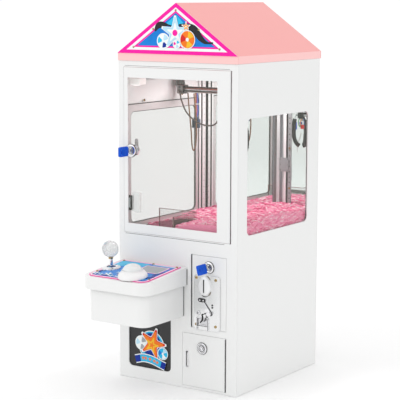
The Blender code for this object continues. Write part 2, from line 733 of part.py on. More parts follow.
def push_button():
    """A broad bezel with a barrel and its switch under the lid, and a domed cap that is pressed."""
    origin = on_panel(BUTTON)
    outer = [
        (9.5, -40), (12.4, -40), (12.4, 1.6), (31.0, 1.6), (30.6, 7.0), (28.4, 12.6), (25.0, 16.8),
        (21.2, 18.4),
    ]
    bezel = turned("button_bezel", outer, origin, 32, PANEL_TURN)
    cut(bezel, helper(turned, [(20.3, 12.0), (20.3, 24.0)], origin, 32, tilt=PANEL_TURN))
    cut(bezel, helper(turned, [(7.0, -20.0), (7.0, 20.0)], origin, 16, tilt=PANEL_TURN))
    finish(bezel, WHITE_PLASTIC)
    stem = [(0, -8.0), (5.8, -8.0), (5.8, 16.4)]
    dome = [*stem, (19.7, 16.4), (19.4, 20.0), (17.2, 24.4), (12.6, 27.8), (6.8, 29.5), (0, 30.0)]
    cap = turned("button_cap", dome, origin, 32, PANEL_TURN)
    finish(cap, ((0.95, 0.9, 0.92), 0.15, 0.0, 0.5))
    return bezel, cap


# Crane --------------------------------------------------------------------------------------------------

def rail(name, side):
    """A C-shaped rail on a side wall, open towards the middle."""
    wall = side * (INNER_X - GAP)
    inner = wall - side * 12
    flange, sheet = sorted((wall, inner)), 1.5
    body = block(name, flange, RAIL_Y, RAIL_Z)
    room = sorted((wall - side * sheet, inner - side))
    cut(body, helper(block, room, (RAIL_Y[0] - 1, RAIL_Y[1] + 1), (RAIL_Z[0] + sheet, RAIL_Z[1] - sheet)))
    return finish(body, CHROME)


def bridge_beam():
    """The cross beam, with a hanger at each end whose roller block runs in the side rail."""
    reach = INNER_X - GAP - 14
    beam = block("bridge_beam", (-reach, reach), BEAM_Y, BEAM_Z)
    roller_z = (RAIL_Z[0] + 2.4, RAIL_Z[1] - 2.4)
    for side in (-1, 1):
        hanger_x = sorted((side * reach, side * (reach - 3)))
        join(beam, helper(block, hanger_x, (BEAM_Y[0] - 12, BEAM_Y[1] + 12), (BEAM_Z[0], RAIL_Z[1] - 2.4)))
        block_x = sorted((side * (reach - 1), side * (INNER_X - GAP - 3)))
        join(beam, helper(block, block_x, (BEAM_Y[0] - 10, BEAM_Y[1] + 10), roller_z))
    return finish(beam, CHROME)


TROLLEY_HALF = 24.0


def trolley():
    """A carriage round the beam, open at its top."""
    x = CLAW[0]
    side_y = (BEAM_Y[0] - 22, BEAM_Y[1] + 22)
    body = block("trolley", (x - TROLLEY_HALF, x + TROLLEY_HALF), side_y, (598.0, 630.0))
    slot_y = (BEAM_Y[0] - 0.5, BEAM_Y[1] + 0.5)
    return cut(body, helper(block, (x - 40, x + 40), slot_y, (BEAM_Z[0] - 0.5, 640.0)))


def lift():
    """The telescopic lift: an outer tube on the trolley, a middle tube, and a rod with the claw's head."""
    x, y = CLAW
    carriage = trolley()
    join(carriage, helper(rod, "Z", (x, y), 8.5, 590.0, 712.0))
    cut(carriage, helper(rod, "Z", (x, y), 7.2, 580.0, 709.0))
    finish(carriage, BLACK)
    middle = rod("lift_tube", "Z", (x, y), 6.8, 586.0, 706.0)
    cut(middle, helper(rod, "Z", (x, y), 5.4, 580.0, 703.0))
    finish(middle, CHROME)
    # From the foot of the head, past its coil housing, to the top of the rod in the middle tube.
    coil = [(0, -8), (11.6, -8), (11.6, 6), (16, 10), (16, 34), (8, 38)]
    rod_top = 700.0 - CLAW_PIVOT_Z
    head = turned("claw_head", [*coil, (5, 38), (5, rod_top), (0, rod_top)], (x, y, CLAW_PIVOT_Z))
    finish(head, CHROME)
    return carriage, middle, head


def prong(name, turn):
    """One claw finger: a strip that runs out from its pivot, down, and in to a toe under the head."""
    line, half = PRONG_LINE, PRONG_SHEET / 2
    left, right = [], []
    for index, (out, up) in enumerate(line):
        before, after = line[max(index - 1, 0)], line[min(index + 1, len(line) - 1)]
        run, rise = after[0] - before[0], after[1] - before[1]
        size = hypot(run, rise)
        left.append((out - half * rise / size, up + half * run / size))
        right.append((out + half * rise / size, up - half * run / size))
    outline = left + right[::-1]
    place = Matrix.Translation((*CLAW, CLAW_PIVOT_Z)) @ Matrix.Rotation(turn, 4, "Z")

    def make(shape):
        # The toes narrow, so that the three can meet under the head.
        widths = [PRONG_WIDTH / 2 if out > CLAW_PIVOT_RADIUS - 1 or up > 0 else 3.0 for out, up in outline]
        front = [shape.verts.new(place @ Vector((out, -w, up))) for w, (out, up) in zip(widths, outline)]
        back = [shape.verts.new(place @ Vector((out, w, up))) for w, (out, up) in zip(widths, outline)]
        shape.faces.new(front)
        shape.faces.new(back[::-1])
        for a in range(len(outline)):
            b = (a + 1) % len(outline)
            shape.faces.new([front[a], back[a], back[b], front[b]])

    return finish(new_object(name, make), CHROME)


def claw_turns():
    return [radians(28 + 360 * index / PRONGS) for index in range(PRONGS)]


def led_lamp():
    """A lamp puck on a bracket in the upper left front corner."""
    x, y, z = -125.0, -130.0, 641.0
    lamp = turned("led_lamp", [(7.0, z - 9), (12.0, z - 6), (13.0, z + 5), (0, z + 5)], (x, y, 0))
    join(lamp, helper(block, (-INNER_X + GAP, x), (y - 4, y + 4), (z + 1, z + 3)))
    return finish(lamp, WHITE_PLASTIC)


def smooth_route(route, steps):
    """Points on a Catmull-Rom curve through the route's own points."""
    ends = [2 * route[0] - route[1], *route, 2 * route[-1] - route[-2]]
    points = []
    for before, start, end, after in zip(ends, ends[1:], ends[2:], ends[3:]):
        for step in range(steps):
            t = step / steps
            points.append(
                0.5 * (2 * start + (end - before) * t + (2 * before - 5 * start + 4 * end - after) * t * t
                       + (3 * start - before - 3 * end + after) * t ** 3)
            )
    return points + [route[-1]]


def cable(name, route, diameter, steps, look):
    curve = bpy.data.curves.new(name, "CURVE")
    curve.dimensions = "3D"
    curve.bevel_depth = diameter / 2 * MM
    curve.bevel_resolution = 2
    curve.use_fill_caps = True
    points = smooth_route([Vector(place) for place in route], steps)
    spline = curve.splines.new("POLY")
    spline.points.add(len(points) - 1)
    for target, place in zip(spline.points, points):
        target.co = (*(place * MM), 1.0)
    obj = bpy.data.objects.new(name, curve)
    bpy.context.scene.collection.objects.link(obj)
    return finish(obj, look)


BRAIDED_ROUTE = (
    (-129.0, 26.0, 612.0), (-121.0, 20.0, 604.0), (-112.0, 14.0, 588.0), (-96.0, 8.0, 566.0),
    (-72.0, 4.0, 549.0), (-45.0, 2.0, 540.0), (-18.0, 2.0, 542.0), (-5.0, 4.0, 560.0),
    (0.5, 8.0, 586.0), (4.0, 12.0, 604.0),
)
CLAW_WIRE_ROUTE = (
    (-117.5, 46.0, 604.0), (-115.5, 46.0, 580.0), (-112.7, 46.0, 555.5), (-108.6, 46.0, 518.3),
    (-106.3, 46.0, 488.6), (-102.0, 46.0, 476.5), (-96.8, 46.0, 489.0), (-94.6, 46.0, 519.0),
    (-96.2, 46.0, 556.0), (-99.0, 45.5, 585.0), (-100.0, 44.0, 604.0),
)


# Assembly -----------------------------------------------------------------------------------------------

def main():
    clear_scene()
    base_pan()
    for name, side in (("left", -1), ("right", 1)):
        side_wall(f"{name}_wall", side)
        side_pane(f"{name}_window", side)
        rail(f"rail_{name}", side)
    back_wall()
    front_panel()
    playfield_deck()
    prize_chute()
    chute_guard()
    plush_bed()
    back_mirror()
    cash_box()
    control_box()
    power_inlet()
    led_lamp()

    roof_shell()
    gable("gable_front_plate", ROOF_FRONT - GAP - ROOF_SHEET, ROOF_FRONT - GAP, PINK_PAINT)
    gable("gable_back_plate", ROOF_BACK + GAP, ROOF_BACK + GAP + ROOF_SHEET, PINK_PAINT)
    gable_graphic_panel()

    door_back = FRONT + 18.0
    front_pieces = front_door()
    front_lock = lock("front", FRONT_LOCK, 13.5, door_back, 24, cam_up=True)
    front_key = key("front_key", FRONT_LOCK, 0.0)
    hinge_x = pin_x(FRONT_DOOR, 1)
    pivot("front_door", (hinge_x, PIN_Y, FRONT_DOOR[2]), [*front_pieces, magnetic_catch(), front_lock[0]])
    pivot("front_lock", (FRONT_LOCK[0], FRONT, FRONT_LOCK[1]), [front_lock[1], front_key])

    panel, plate, body, reject, return_flap = coin_door()
    coin_lock = lock("coin", COIN_LOCK, 12.0, door_back, 28, cam_up=False)
    coin_key = key("coin_key", COIN_LOCK, radians(-14))
    hinge_x = pin_x(COIN_DOOR, -1)
    pivot("coin_door", (hinge_x, PIN_Y, COIN_DOOR[2]), [panel, plate, body, coin_lock[0]])
    pivot("coin_lock", (COIN_LOCK[0], FRONT, COIN_LOCK[1]), [coin_lock[1], coin_key])
    pivot("coin_reject", (REJECT[0], FRONT, REJECT[1]), [reject])
    pivot("coin_return", (RETURN_CUP[0], FRONT - GAP - 1.0, RETURN_CUP[3] - 1.0), [return_flap])

    service = service_door()
    service_lock = lock("service", SERVICE_LOCK, 12.0, door_back, 32, cam_up=False)
    pivot("service_door", (pin_x(SERVICE_DOOR, 1), PIN_Y, SERVICE_DOOR[2]), [service, service_lock[0]])
    pivot("service_lock", (SERVICE_LOCK[0], FRONT, SERVICE_LOCK[1]), [service_lock[1]])

    pivot("prize_flap", ((CHEEK_LEFT + CHEEK_RIGHT) / 2, FLAP_PIN_Y, FLAP_PIN_Z), [prize_flap()])
    pivot("power_rocker", (ROCKER[0], ROCKER_PIN_Y, ROCKER[1]), [power_rocker()])

    console()
    housing, gimbal, shaft, ball = joystick()
    stick_pivot = on_panel(STICK) + PANEL_TURN @ Vector((0, 0, STICK_PIVOT))
    pivot("joystick_gimbal", stick_pivot, [gimbal])
    pivot("joystick", stick_pivot, [shaft, ball])
    bezel, cap = push_button()
    pivot("push_button", on_panel(BUTTON), [cap])

    pivot("bridge", (0, BEAM_Y[0], RAIL_Z[0]), [bridge_beam()])
    carriage, middle, head = lift()
    pivot("trolley", (*CLAW, BEAM_Z[0]), [carriage])
    pivot("lift_tube", (*CLAW, BEAM_Z[0]), [middle])
    pivot("claw_head", (*CLAW, CLAW_PIVOT_Z), [head])
    for index, turn in enumerate(claw_turns()):
        finger = prong(f"claw_prong_{index + 1}", turn)
        out = Vector((CLAW_PIVOT_RADIUS * cos(turn), CLAW_PIVOT_RADIUS * sin(turn), 0))
        pivot(f"claw_prong_{index + 1}", Vector((*CLAW, CLAW_PIVOT_Z)) + out, [finger])
    cable("braided_cable", BRAIDED_ROUTE, 3.4, 4, STEEL)
    cable("claw_cable", CLAW_WIRE_ROUTE, 3.0, 4, ((0.35, 0.22, 0.12), 0.5))


main()
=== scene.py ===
"""The looks of the claw crane machine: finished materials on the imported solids, and finely made pieces in
place of the plain ones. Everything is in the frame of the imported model. The camera, the lights and the
materials use metres; pieces and routes are written in millimetres and scaled once."""

import random
from math import atan2, cos, hypot, pi, radians, sin

import bmesh
import bpy
from mathutils import Matrix, Vector, noise
from mathutils.bvhtree import BVHTree

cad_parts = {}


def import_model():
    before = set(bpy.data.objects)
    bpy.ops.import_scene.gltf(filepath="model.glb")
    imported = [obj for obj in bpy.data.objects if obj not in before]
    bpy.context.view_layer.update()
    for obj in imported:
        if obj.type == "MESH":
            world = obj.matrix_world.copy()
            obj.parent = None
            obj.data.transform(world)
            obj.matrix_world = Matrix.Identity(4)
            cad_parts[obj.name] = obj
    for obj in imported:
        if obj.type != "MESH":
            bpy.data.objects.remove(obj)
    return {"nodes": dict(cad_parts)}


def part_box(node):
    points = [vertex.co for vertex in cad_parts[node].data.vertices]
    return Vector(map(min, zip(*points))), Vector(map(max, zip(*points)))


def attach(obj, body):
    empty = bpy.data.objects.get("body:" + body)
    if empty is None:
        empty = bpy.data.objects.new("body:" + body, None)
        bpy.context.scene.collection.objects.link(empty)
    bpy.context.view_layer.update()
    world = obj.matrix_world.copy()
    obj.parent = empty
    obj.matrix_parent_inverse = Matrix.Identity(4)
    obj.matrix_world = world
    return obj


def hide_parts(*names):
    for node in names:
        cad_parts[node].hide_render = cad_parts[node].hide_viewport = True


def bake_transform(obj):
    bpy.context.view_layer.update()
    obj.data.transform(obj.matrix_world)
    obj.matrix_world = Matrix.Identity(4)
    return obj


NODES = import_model()["nodes"]
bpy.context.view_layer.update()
MM = 0.001           # one millimetre, in metres


# Camera, light and backdrop -------------------------------------------------------------------------------

CAMERA_AZIMUTH = radians(34.10)
CAMERA_ELEVATION = radians(8.39)
CAMERA_ROLL = radians(-0.17)
CAMERA_DISTANCE = 3.0878
CAMERA_TARGET = Vector((-0.0532, 0.0, 0.3742))
CAMERA_LENS = 126.3
CARD_AZIMUTHS = (-62.0, -12.0, 78.0)
CARD_DISTANCE = 2.4
CARD_WIDTH = 0.34
CARD_SPAN = (0.02, 2.4)      # the cards' lowest and highest edges
CABIN_LIGHTS = (("cabin", (0.0, -0.03, 0.66), 0.32), ("cabin_back", (0.02, 0.10, 0.66), 0.70))


def make_camera():
    data = bpy.data.cameras.new("camera")
    data.lens = CAMERA_LENS
    data.sensor_width = 36
    data.clip_end = 1000
    camera = bpy.data.objects.new("camera", data)
    bpy.context.scene.collection.objects.link(camera)
    back = Vector((
        sin(CAMERA_AZIMUTH) * cos(CAMERA_ELEVATION),
        -cos(CAMERA_AZIMUTH) * cos(CAMERA_ELEVATION),
        sin(CAMERA_ELEVATION),
    ))
    turn = back.to_track_quat("Z", "Y").to_matrix().to_4x4() @ Matrix.Rotation(-CAMERA_ROLL, 4, "Z")
    camera.matrix_world = Matrix.Translation(CAMERA_TARGET + back * CAMERA_DISTANCE) @ turn
    bpy.context.scene.camera = camera


def area_light(name, place, target, size, power):
    data = bpy.data.lights.new(name, "AREA")
    data.shape = "RECTANGLE"
    data.size, data.size_y = size
    data.energy = power
    light = bpy.data.objects.new(name, data)
    bpy.context.scene.collection.objects.link(light)
    light.location = place
    light.rotation_euler = (Vector(target) - Vector(place)).to_track_quat("-Z", "Y").to_euler()
    return light


def stage_sheet(name, shape, look):
    """A flat sheet of the studio, from the faces in shape."""
    mesh = bpy.data.meshes.new(name)
    shape.to_mesh(mesh)
    shape.free()
    sheet = bpy.data.objects.new(name, mesh)
    bpy.context.scene.collection.objects.link(sheet)
    sheet.data.materials.append(look)
    return sheet


def dark_card(name, azimuth, look):
    """An upright black card that only polished surfaces see, so that chrome shows dark bands."""
    turn = radians(azimuth)
    shape = bmesh.new()
    across = Vector((-sin(turn), cos(turn), 0)) * CARD_WIDTH / 2
    middle = Vector((cos(turn), sin(turn), 0)) * CARD_DISTANCE
    left, right = middle - across, middle + across
    bottom, top = CARD_SPAN
    ring = ((left, bottom), (right, bottom), (right, top), (left, top))
    shape.faces.new([shape.verts.new((*corner.xy, height)) for corner, height in ring])
    card = stage_sheet(name, shape, look)
    card.visible_camera = card.visible_diffuse = card.visible_shadow = False


def make_studio():
    world = bpy.data.worlds.new("studio")
    world.use_nodes = True
    world.node_tree.nodes["Background"].inputs["Color"].default_value = (1.0, 1.0, 1.0, 1)
    world.node_tree.nodes["Background"].inputs["Strength"].default_value = 1.05
    bpy.context.scene.world = world
    area_light("key", (-1.3, -2.6, 1.9), (0, 0, 0.4), (1.8, 1.8), 8)
    for name, spot, power in CABIN_LIGHTS:
        light = area_light(name, spot, (spot[0] - 0.02, spot[1], 0.3), (0.1, 0.1), power)
        light.visible_camera = light.visible_glossy = False
    black = material("black_card", (0.02, 0.02, 0.02), 0.9, specular=0.0)
    for number, azimuth in enumerate(CARD_AZIMUTHS):
        dark_card(f"dark_card_{number + 1}", azimuth, black)
    shape = bmesh.new()
    bmesh.ops.create_grid(shape, x_segments=2, y_segments=2, size=400)
    white = material("floor_white", (0.97, 0.97, 0.97), roughness=0.9, specular=0.0)
    floor = stage_sheet("floor", shape, white)
    floor.location = (0, 0, -0.0005)


# Materials ------------------------------------------------------------------------------------------------

def material(name, colour, roughness=0.4, metallic=0.0, specular=0.5, coat=0.0, alpha=1.0, sheen=0.0,
             transmission=0.0, emission=0.0, grain=None, mottle=None, rough_grain=None):
    """A Principled material. grain is a surface bump's (size, height), mottle is (size, share) of a gentle
    change of colour, and rough_grain is (size, share) of a change of gloss. Sizes are in metres."""
    made = bpy.data.materials.new(name)
    made.use_nodes = True
    tree = made.node_tree
    shader = tree.nodes["Principled BSDF"]
    settings = {
        "Base Color": (*colour, 1.0), "Roughness": roughness, "Metallic": metallic,
        "Specular IOR Level": specular, "Coat Weight": coat, "Coat Roughness": 0.08, "Alpha": alpha,
        "Sheen Weight": sheen, "Transmission Weight": transmission,
    }
    if emission:
        settings |= {"Emission Color": (*colour, 1.0), "Emission Strength": emission}
    for socket, value in settings.items():
        shader.inputs[socket].default_value = value
    made.diffuse_color = (*colour, 1.0)
    if mottle:
        size, share = mottle
        brightness = add_range(tree, noise_node(tree, size, 3).outputs["Fac"], 1 - share, 1 + share * 0.6)
        scaled = tree.nodes.new("ShaderNodeVectorMath")
        scaled.operation = "SCALE"
        scaled.inputs[0].default_value = colour
        tree.links.new(brightness, scaled.inputs["Scale"])
        tree.links.new(scaled.outputs["Vector"], shader.inputs["Base Color"])
    if rough_grain:
        size, share = rough_grain
        low, high = max(roughness * (1 - share), 0.01), min(roughness * (1 + share), 1.0)
        gloss = add_range(tree, noise_node(tree, size, 4).outputs["Fac"], low, high)
        tree.links.new(gloss, shader.inputs["Roughness"])
    if grain:
        add_bump(tree, shader, noise_node(tree, grain[0], 2).outputs["Fac"], grain[1])
    return made


def noise_node(tree, size, detail, stretch=(1, 1, 1)):
    """Noise in the object's own space, whose features are about size metres across."""
    place = tree.nodes.new("ShaderNodeTexCoord")
    mapping = tree.nodes.new("ShaderNodeMapping")
    mapping.inputs["Scale"].default_value = stretch
    made = tree.nodes.new("ShaderNodeTexNoise")
    made.inputs["Scale"].default_value = 1 / size
    made.inputs["Detail"].default_value = detail
    tree.links.new(place.outputs["Object"], mapping.inputs["Vector"])
    tree.links.new(mapping.outputs["Vector"], made.inputs["Vector"])
    return made


def add_range(tree, value, low, high, top=1.0):
    """Spreads a value that runs from 0 to top over the range from low to high."""
    ramp = tree.nodes.new("ShaderNodeMapRange")
    ramp.inputs["From Max"].default_value = top
    ramp.inputs["To Min"].default_value = low
    ramp.inputs["To Max"].default_value = high
    tree.links.new(value, ramp.inputs["Value"])
    return ramp.outputs["Result"]


def add_bump(tree, shader, height, distance, strength=1.0):
    bump = tree.nodes.new("ShaderNodeBump")
    bump.inputs["Distance"].default_value = distance
    bump.inputs["Strength"].default_value = strength
    tree.links.new(height, bump.inputs["Height"])
    tree.links.new(bump.outputs["Normal"], shader.inputs["Normal"])


def brushed(name, colour, roughness, direction):
    """Metal with fine streaks along one direction."""
    made = material(name, colour, roughness, metallic=1.0)
    tree = made.node_tree
    shader = tree.nodes["Principled BSDF"]
    stretch = [1.0 if axis == direction else 18.0 for axis in "XYZ"]
    streaks = noise_node(tree, 0.03, 4, stretch)
    gloss = add_range(tree, streaks.outputs["Fac"], roughness * 0.6, roughness * 1.5)
    tree.links.new(gloss, shader.inputs["Roughness"])
    add_bump(tree, shader, streaks.outputs["Fac"], 0.00002, 0.6)
    return made


def crackled(name, colour):
    """Clear plastic whose inside is crazed with fine cracks."""
    made = material(name, colour, 0.06, transmission=0.72)
    tree = made.node_tree
    shader = tree.nodes["Principled BSDF"]
    place = tree.nodes.new("ShaderNodeTexCoord")
    cracks = tree.nodes.new("ShaderNodeTexVoronoi")
    cracks.feature = "DISTANCE_TO_EDGE"
    cracks.inputs["Scale"].default_value = 260.0
    tree.links.new(place.outputs["Object"], cracks.inputs["Vector"])
    gloss = add_range(tree, cracks.outputs["Distance"], 0.35, 0.04, top=0.18)
    tree.links.new(gloss, shader.inputs["Roughness"])
    add_bump(tree, shader, cracks.outputs["Distance"], 0.0006, 0.7)
    return made


PAINT_GRAIN = (0.0011, 0.00002)
FINE_GRAIN = (0.001, 0.00002)
SMOOTH_GRAIN = (0.001, 0.00001)

WHITE = material("white_powder_coat", (0.80, 0.805, 0.80), 0.32, coat=0.25, grain=PAINT_GRAIN,
                 rough_grain=(0.02, 0.15))
PINK = material("pink_powder_coat", (0.90, 0.345, 0.33), 0.38, coat=0.2, grain=PAINT_GRAIN,
                mottle=(0.12, 0.02))
# The roof pink made paler for its upright sides: painted light, for how the light falls on them.
PAINTED_LIGHT_SIDE_PINK = material("side_pink_painted_light", (0.95, 0.56, 0.55), 0.38, coat=0.2, grain=PAINT_GRAIN)
PALE_PINK = material("pale_pink_powder_coat", (0.93, 0.56, 0.54), 0.38, coat=0.2, grain=PAINT_GRAIN)
ACRYLIC = material("clear_acrylic", (0.34, 0.36, 0.31), 0.03, specular=0.15, alpha=0.09,
                   rough_grain=(0.05, 0.5))

MIRROR = material("silvered_mirror", (0.90, 0.96, 0.94), 0.012, metallic=1.0, rough_grain=(0.08, 0.4))
CHROME = material("chrome_plate", (0.80, 0.80, 0.82), 0.09, metallic=1.0, rough_grain=(0.006, 0.35))
SATIN_CHROME = material("satin_die_casting", (0.78, 0.785, 0.79), 0.24, metallic=1.0, grain=(0.0006, 0.00001),
                        rough_grain=(0.004, 0.3))
ZINC = brushed("zinc_sheet", (0.60, 0.61, 0.63), 0.34, "X")
ALUMINIUM = brushed("drawn_aluminium", (0.72, 0.72, 0.74), 0.25, "Y")
BRASS = material("brass_screw", (0.50, 0.36, 0.17), 0.2, metallic=1.0, rough_grain=(0.001, 0.3))
BLACK = material("black_plastic", (0.018, 0.018, 0.02), 0.42, grain=(0.0005, 0.00002),
                 rough_grain=(0.003, 0.25))
# Near black for dark parts, and also painted shade in recesses, slots and gaps, such as the screws' cross recesses.
DARK = material("near_black_and_painted_shade", (0.012, 0.012, 0.014), 0.6, grain=FINE_GRAIN)
WHITE_PLASTIC = material("white_plastic", (0.83, 0.83, 0.83), 0.28, coat=0.15, grain=(0.0009, 0.000012))
BLUE_PLASTIC = material("blue_key_plastic", (0.002, 0.085, 0.60), 0.4, specular=0.2, grain=(0.0005, 0.00003),
                        rough_grain=(0.002, 0.3))
STEEL = material("blade_steel", (0.62, 0.62, 0.64), 0.22, metallic=1.0, rough_grain=(0.003, 0.4))
# Bronze-brown used only for painted shadow round the coin boss.
PAINTED_SHADOW_BRONZE = material("painted_shadow_bronze", (0.30, 0.27, 0.23), 0.3, metallic=1.0, rough_grain=(0.002, 0.4))
WHITE_METAL = material("white_die_casting", (0.84, 0.845, 0.85), 0.3, metallic=0.35, grain=(0.0008, 0.00001))
CLEAR_BALL = crackled("clear_ball", (0.86, 0.87, 0.87))
FROSTED = material("ball_insert", (0.80, 0.82, 0.83), 0.35, transmission=0.4, grain=(0.0012, 0.00004))
CAP = material("button_cap", (0.86, 0.88, 0.88), 0.16, coat=0.4, transmission=0.15, rough_grain=(0.004, 0.2))
CAP_LINE = material("button_tint", (0.55, 0.62, 0.62), 0.3, grain=SMOOTH_GRAIN)
# Black rubber for the prong sleeves, also used for the painted shadow strips in the door gaps.
RUBBER_AND_PAINTED_SHADOW = material("black_rubber_and_painted_shadow", (0.020, 0.020, 0.022), 0.55, grain=(0.0007, 0.00004),
                  rough_grain=(0.004, 0.2))
TAPE = material("dark_tape", (0.045, 0.042, 0.045), 0.5, grain=FINE_GRAIN)
GUARD_EDGE = material("guard_edge", (0.30, 0.16, 0.16), 0.2, alpha=0.75, rough_grain=(0.004, 0.3))
POST = brushed("polished_post", (0.50, 0.51, 0.53), 0.18, "Z")
GREY_STEEL = brushed("grey_steel", (0.30, 0.31, 0.33), 0.3, "Z")
STRIP = material("pale_strip", (0.62, 0.64, 0.64), 0.45, metallic=0.2, grain=(0.0008, 0.00002))
CATCH_WHITE = material("catch_plastic", (0.90, 0.93, 0.92), 0.35, alpha=0.35, grain=SMOOTH_GRAIN)
# Dark grey used only for painted shadow lines round the console.
PAINTED_SHADOW_GREY = material("painted_shadow_grey", (0.10, 0.105, 0.11), 0.6, grain=FINE_GRAIN)
RIM_GREY = material("rim_grey", (0.62, 0.60, 0.60), 0.4, grain=FINE_GRAIN)
PLATE_GREY = material("plate_grey", (0.36, 0.37, 0.38), 0.45, metallic=0.3, rough_grain=(0.004, 0.3))
POST_LIGHT = material("post_light", (0.88, 0.88, 0.88), 0.35, rough_grain=(0.004, 0.3))
BLOCK_GREY = brushed("block_grey", (0.24, 0.23, 0.23), 0.35, "X")
# Dark polished metal for the catch's strike, rivets and cup frame, and also for painted shadow lines round the locks
# and the coin boss.
STRIKE_AND_PAINTED_SHADOW = material("polished_strike", (0.10, 0.10, 0.10), 0.15, metallic=0.9, rough_grain=(0.003, 0.3))
HOOK_BLACK = material("hook_black", (0.006, 0.006, 0.006), 0.5, specular=0.25, grain=FINE_GRAIN)
RED_PLASTIC = material("red_plastic", (0.62, 0.02, 0.02), 0.35, grain=FINE_GRAIN)
PALE_WIRE = material("pale_wire", (0.62, 0.62, 0.60), 0.4, grain=SMOOTH_GRAIN)
LAMP_WHITE = material("lamp_white", (0.93, 0.92, 0.90), 0.4, emission=0.35, grain=(0.0012, 0.00002))
LAMP_LENS = material("lamp_lens", (0.90, 0.90, 0.88), 0.25, emission=0.6, grain=(0.002, 0.00005))
ALUMINIUM_X = brushed("drawn_aluminium_beam", (0.50, 0.48, 0.48), 0.28, "X")
COPPER = material("red_brown_cord", (0.30, 0.07, 0.05), 0.45, grain=(0.0008, 0.00003))
WIRE_BLUE, WIRE_ORANGE, WIRE_GREEN, WIRE_MAGENTA = (
    material(f"{name}_wire", colour, 0.4, grain=SMOOTH_GRAIN)
    for name, colour in (("blue", (0.03, 0.14, 0.55)), ("orange", (0.75, 0.25, 0.05)),
                         ("green", (0.03, 0.35, 0.12)), ("magenta", (0.45, 0.05, 0.25)))
)
RED_TAPE = material("red_tape", (0.55, 0.02, 0.03), 0.35, grain=FINE_GRAIN)
CONNECTOR = material("slate_plastic", (0.05, 0.07, 0.12), 0.4, grain=(0.0008, 0.00002))
BROWN_WIRE = material("brown_wire", (0.17, 0.080, 0.035), 0.42, coat=0.2, grain=(0.0012, 0.00004))
# A dark steel braid; its strong mottle of bright flecks is painted highlight, standing for the strands' glints.
BRAID = material("steel_braid", (0.12, 0.10, 0.09), 0.34, metallic=0.4, mottle=(0.004, 0.8),
                 grain=(0.0012, 0.00025))


PLUSH_TONES = [
    material(f"plush_{name}", colour, 0.85, specular=0.2, sheen=0.35, mottle=(0.006, 0.12), grain=(0.0008, 0.0002))
    for name, colour in (("deep", (0.78, 0.10, 0.27)), ("pink", (0.95, 0.28, 0.46)),
                         ("light", (0.98, 0.46, 0.60)), ("tip", (1.0, 0.76, 0.82)))
]


# Making pieces --------------------------------------------------------------------------------------------

def span(node):
    """A CAD node's lowest and highest corners, in millimetres."""
    low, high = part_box(node)
    return Vector(low) / MM, Vector(high) / MM


def link_mesh(name, make):
    mesh = bpy.data.meshes.new(name)
    shape = bmesh.new()
    make(shape)
    bmesh.ops.recalc_face_normals(shape, faces=shape.faces)
    shape.transform(Matrix.Scale(MM, 4))
    shape.to_mesh(mesh)
    shape.free()
    obj = bpy.data.objects.new(name, mesh)
    bpy.context.scene.collection.objects.link(obj)
    return obj


def carve(obj, cutters):
    """Cuts away the solids made by each function in cutters, for good."""
    for index, make in enumerate(cutters):
        tool = link_mesh(f"{obj.name}_cutter_{index}", make)
        modifier = obj.modifiers.new("cut", "BOOLEAN")
        modifier.operation = "DIFFERENCE"
        modifier.object = tool
        bpy.context.view_layer.update()
        shown = obj.evaluated_get(bpy.context.evaluated_depsgraph_get())
        mesh = bpy.data.meshes.new_from_object(shown)
        obj.modifiers.remove(modifier)
        obj.data = mesh
        bpy.data.objects.remove(tool)


def piece(name, body, looks, make, replaces=(), bevel=0.0, segments=2, smooth=38, cutters=()):
    """A piece whose mesh make(shape) builds in millimetres, riding on a body."""
    obj = link_mesh(name, make)
    for look in looks if isinstance(looks, (list, tuple)) else [looks]:
        obj.data.materials.append(look)
    carve(obj, cutters)
    obj.data.shade_smooth()
    obj.data.set_sharp_from_angle(angle=radians(smooth))
    if bevel:
        soften(obj, bevel * MM, segments)
    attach(obj, body)
    if replaces:
        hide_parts(*replaces)
    return obj


def soften(obj, width, segments=2):
    bevel = obj.modifiers.new("broken edges", "BEVEL")
    bevel.width = width
    bevel.segments = segments
    bevel.limit_method = "ANGLE"
    bevel.angle_limit = radians(40)
    bevel.use_clamp_overlap = True


def facing(x, y, z, outward):
    """A frame whose third axis points outward: "-Y", "+Y", "-X", "+X" or "+Z"; its second axis is up."""
    axes = {
        "-Y": ((1, 0, 0), (0, 0, 1), (0, -1, 0)),
        "+Y": ((-1, 0, 0), (0, 0, 1), (0, 1, 0)),
        "-X": ((0, -1, 0), (0, 0, 1), (-1, 0, 0)),
        "+X": ((0, 1, 0), (0, 0, 1), (1, 0, 0)),
        "+Z": ((1, 0, 0), (0, 1, 0), (0, 0, 1)),
    }[outward]
    turn = Matrix([axes[0], axes[1], axes[2]]).transposed().to_4x4()
    return Matrix.Translation((x, y, z)) @ turn


def add_prism(shape, outline, place, low, high, look=0):
    """A closed prism on an outline of (across, up) points, from low to high along the frame's third axis."""
    bottom = [shape.verts.new(place @ Vector((a, u, low))) for a, u in outline]
    top = [shape.verts.new(place @ Vector((a, u, high))) for a, u in outline]
    faces = [shape.faces.new(bottom[::-1]), shape.faces.new(top)]
    for here in range(len(outline)):
        there = (here + 1) % len(outline)
        faces.append(shape.faces.new([bottom[here], bottom[there], top[there], top[here]]))
    for face in faces:
        face.material_index = look


def add_ring(shape, outer, inner, place, low, high, look=0):
    """A closed frame between two outlines that have the same number of points."""
    loops = [
        [shape.verts.new(place @ Vector((a, u, level))) for a, u in outline]
        for outline, level in ((outer, low), (outer, high), (inner, high), (inner, low))
    ]
    for first, second in zip(loops, loops[1:] + loops[:1]):
        for here in range(len(outer)):
            there = (here + 1) % len(outer)
            face = shape.faces.new([first[here], first[there], second[there], second[here]])
            face.material_index = look


def add_box(shape, x, y, z, place=Matrix.Identity(4), look=0):
    add_prism(shape, [(x[0], y[0]), (x[1], y[0]), (x[1], y[1]), (x[0], y[1])], place, z[0], z[1], look)


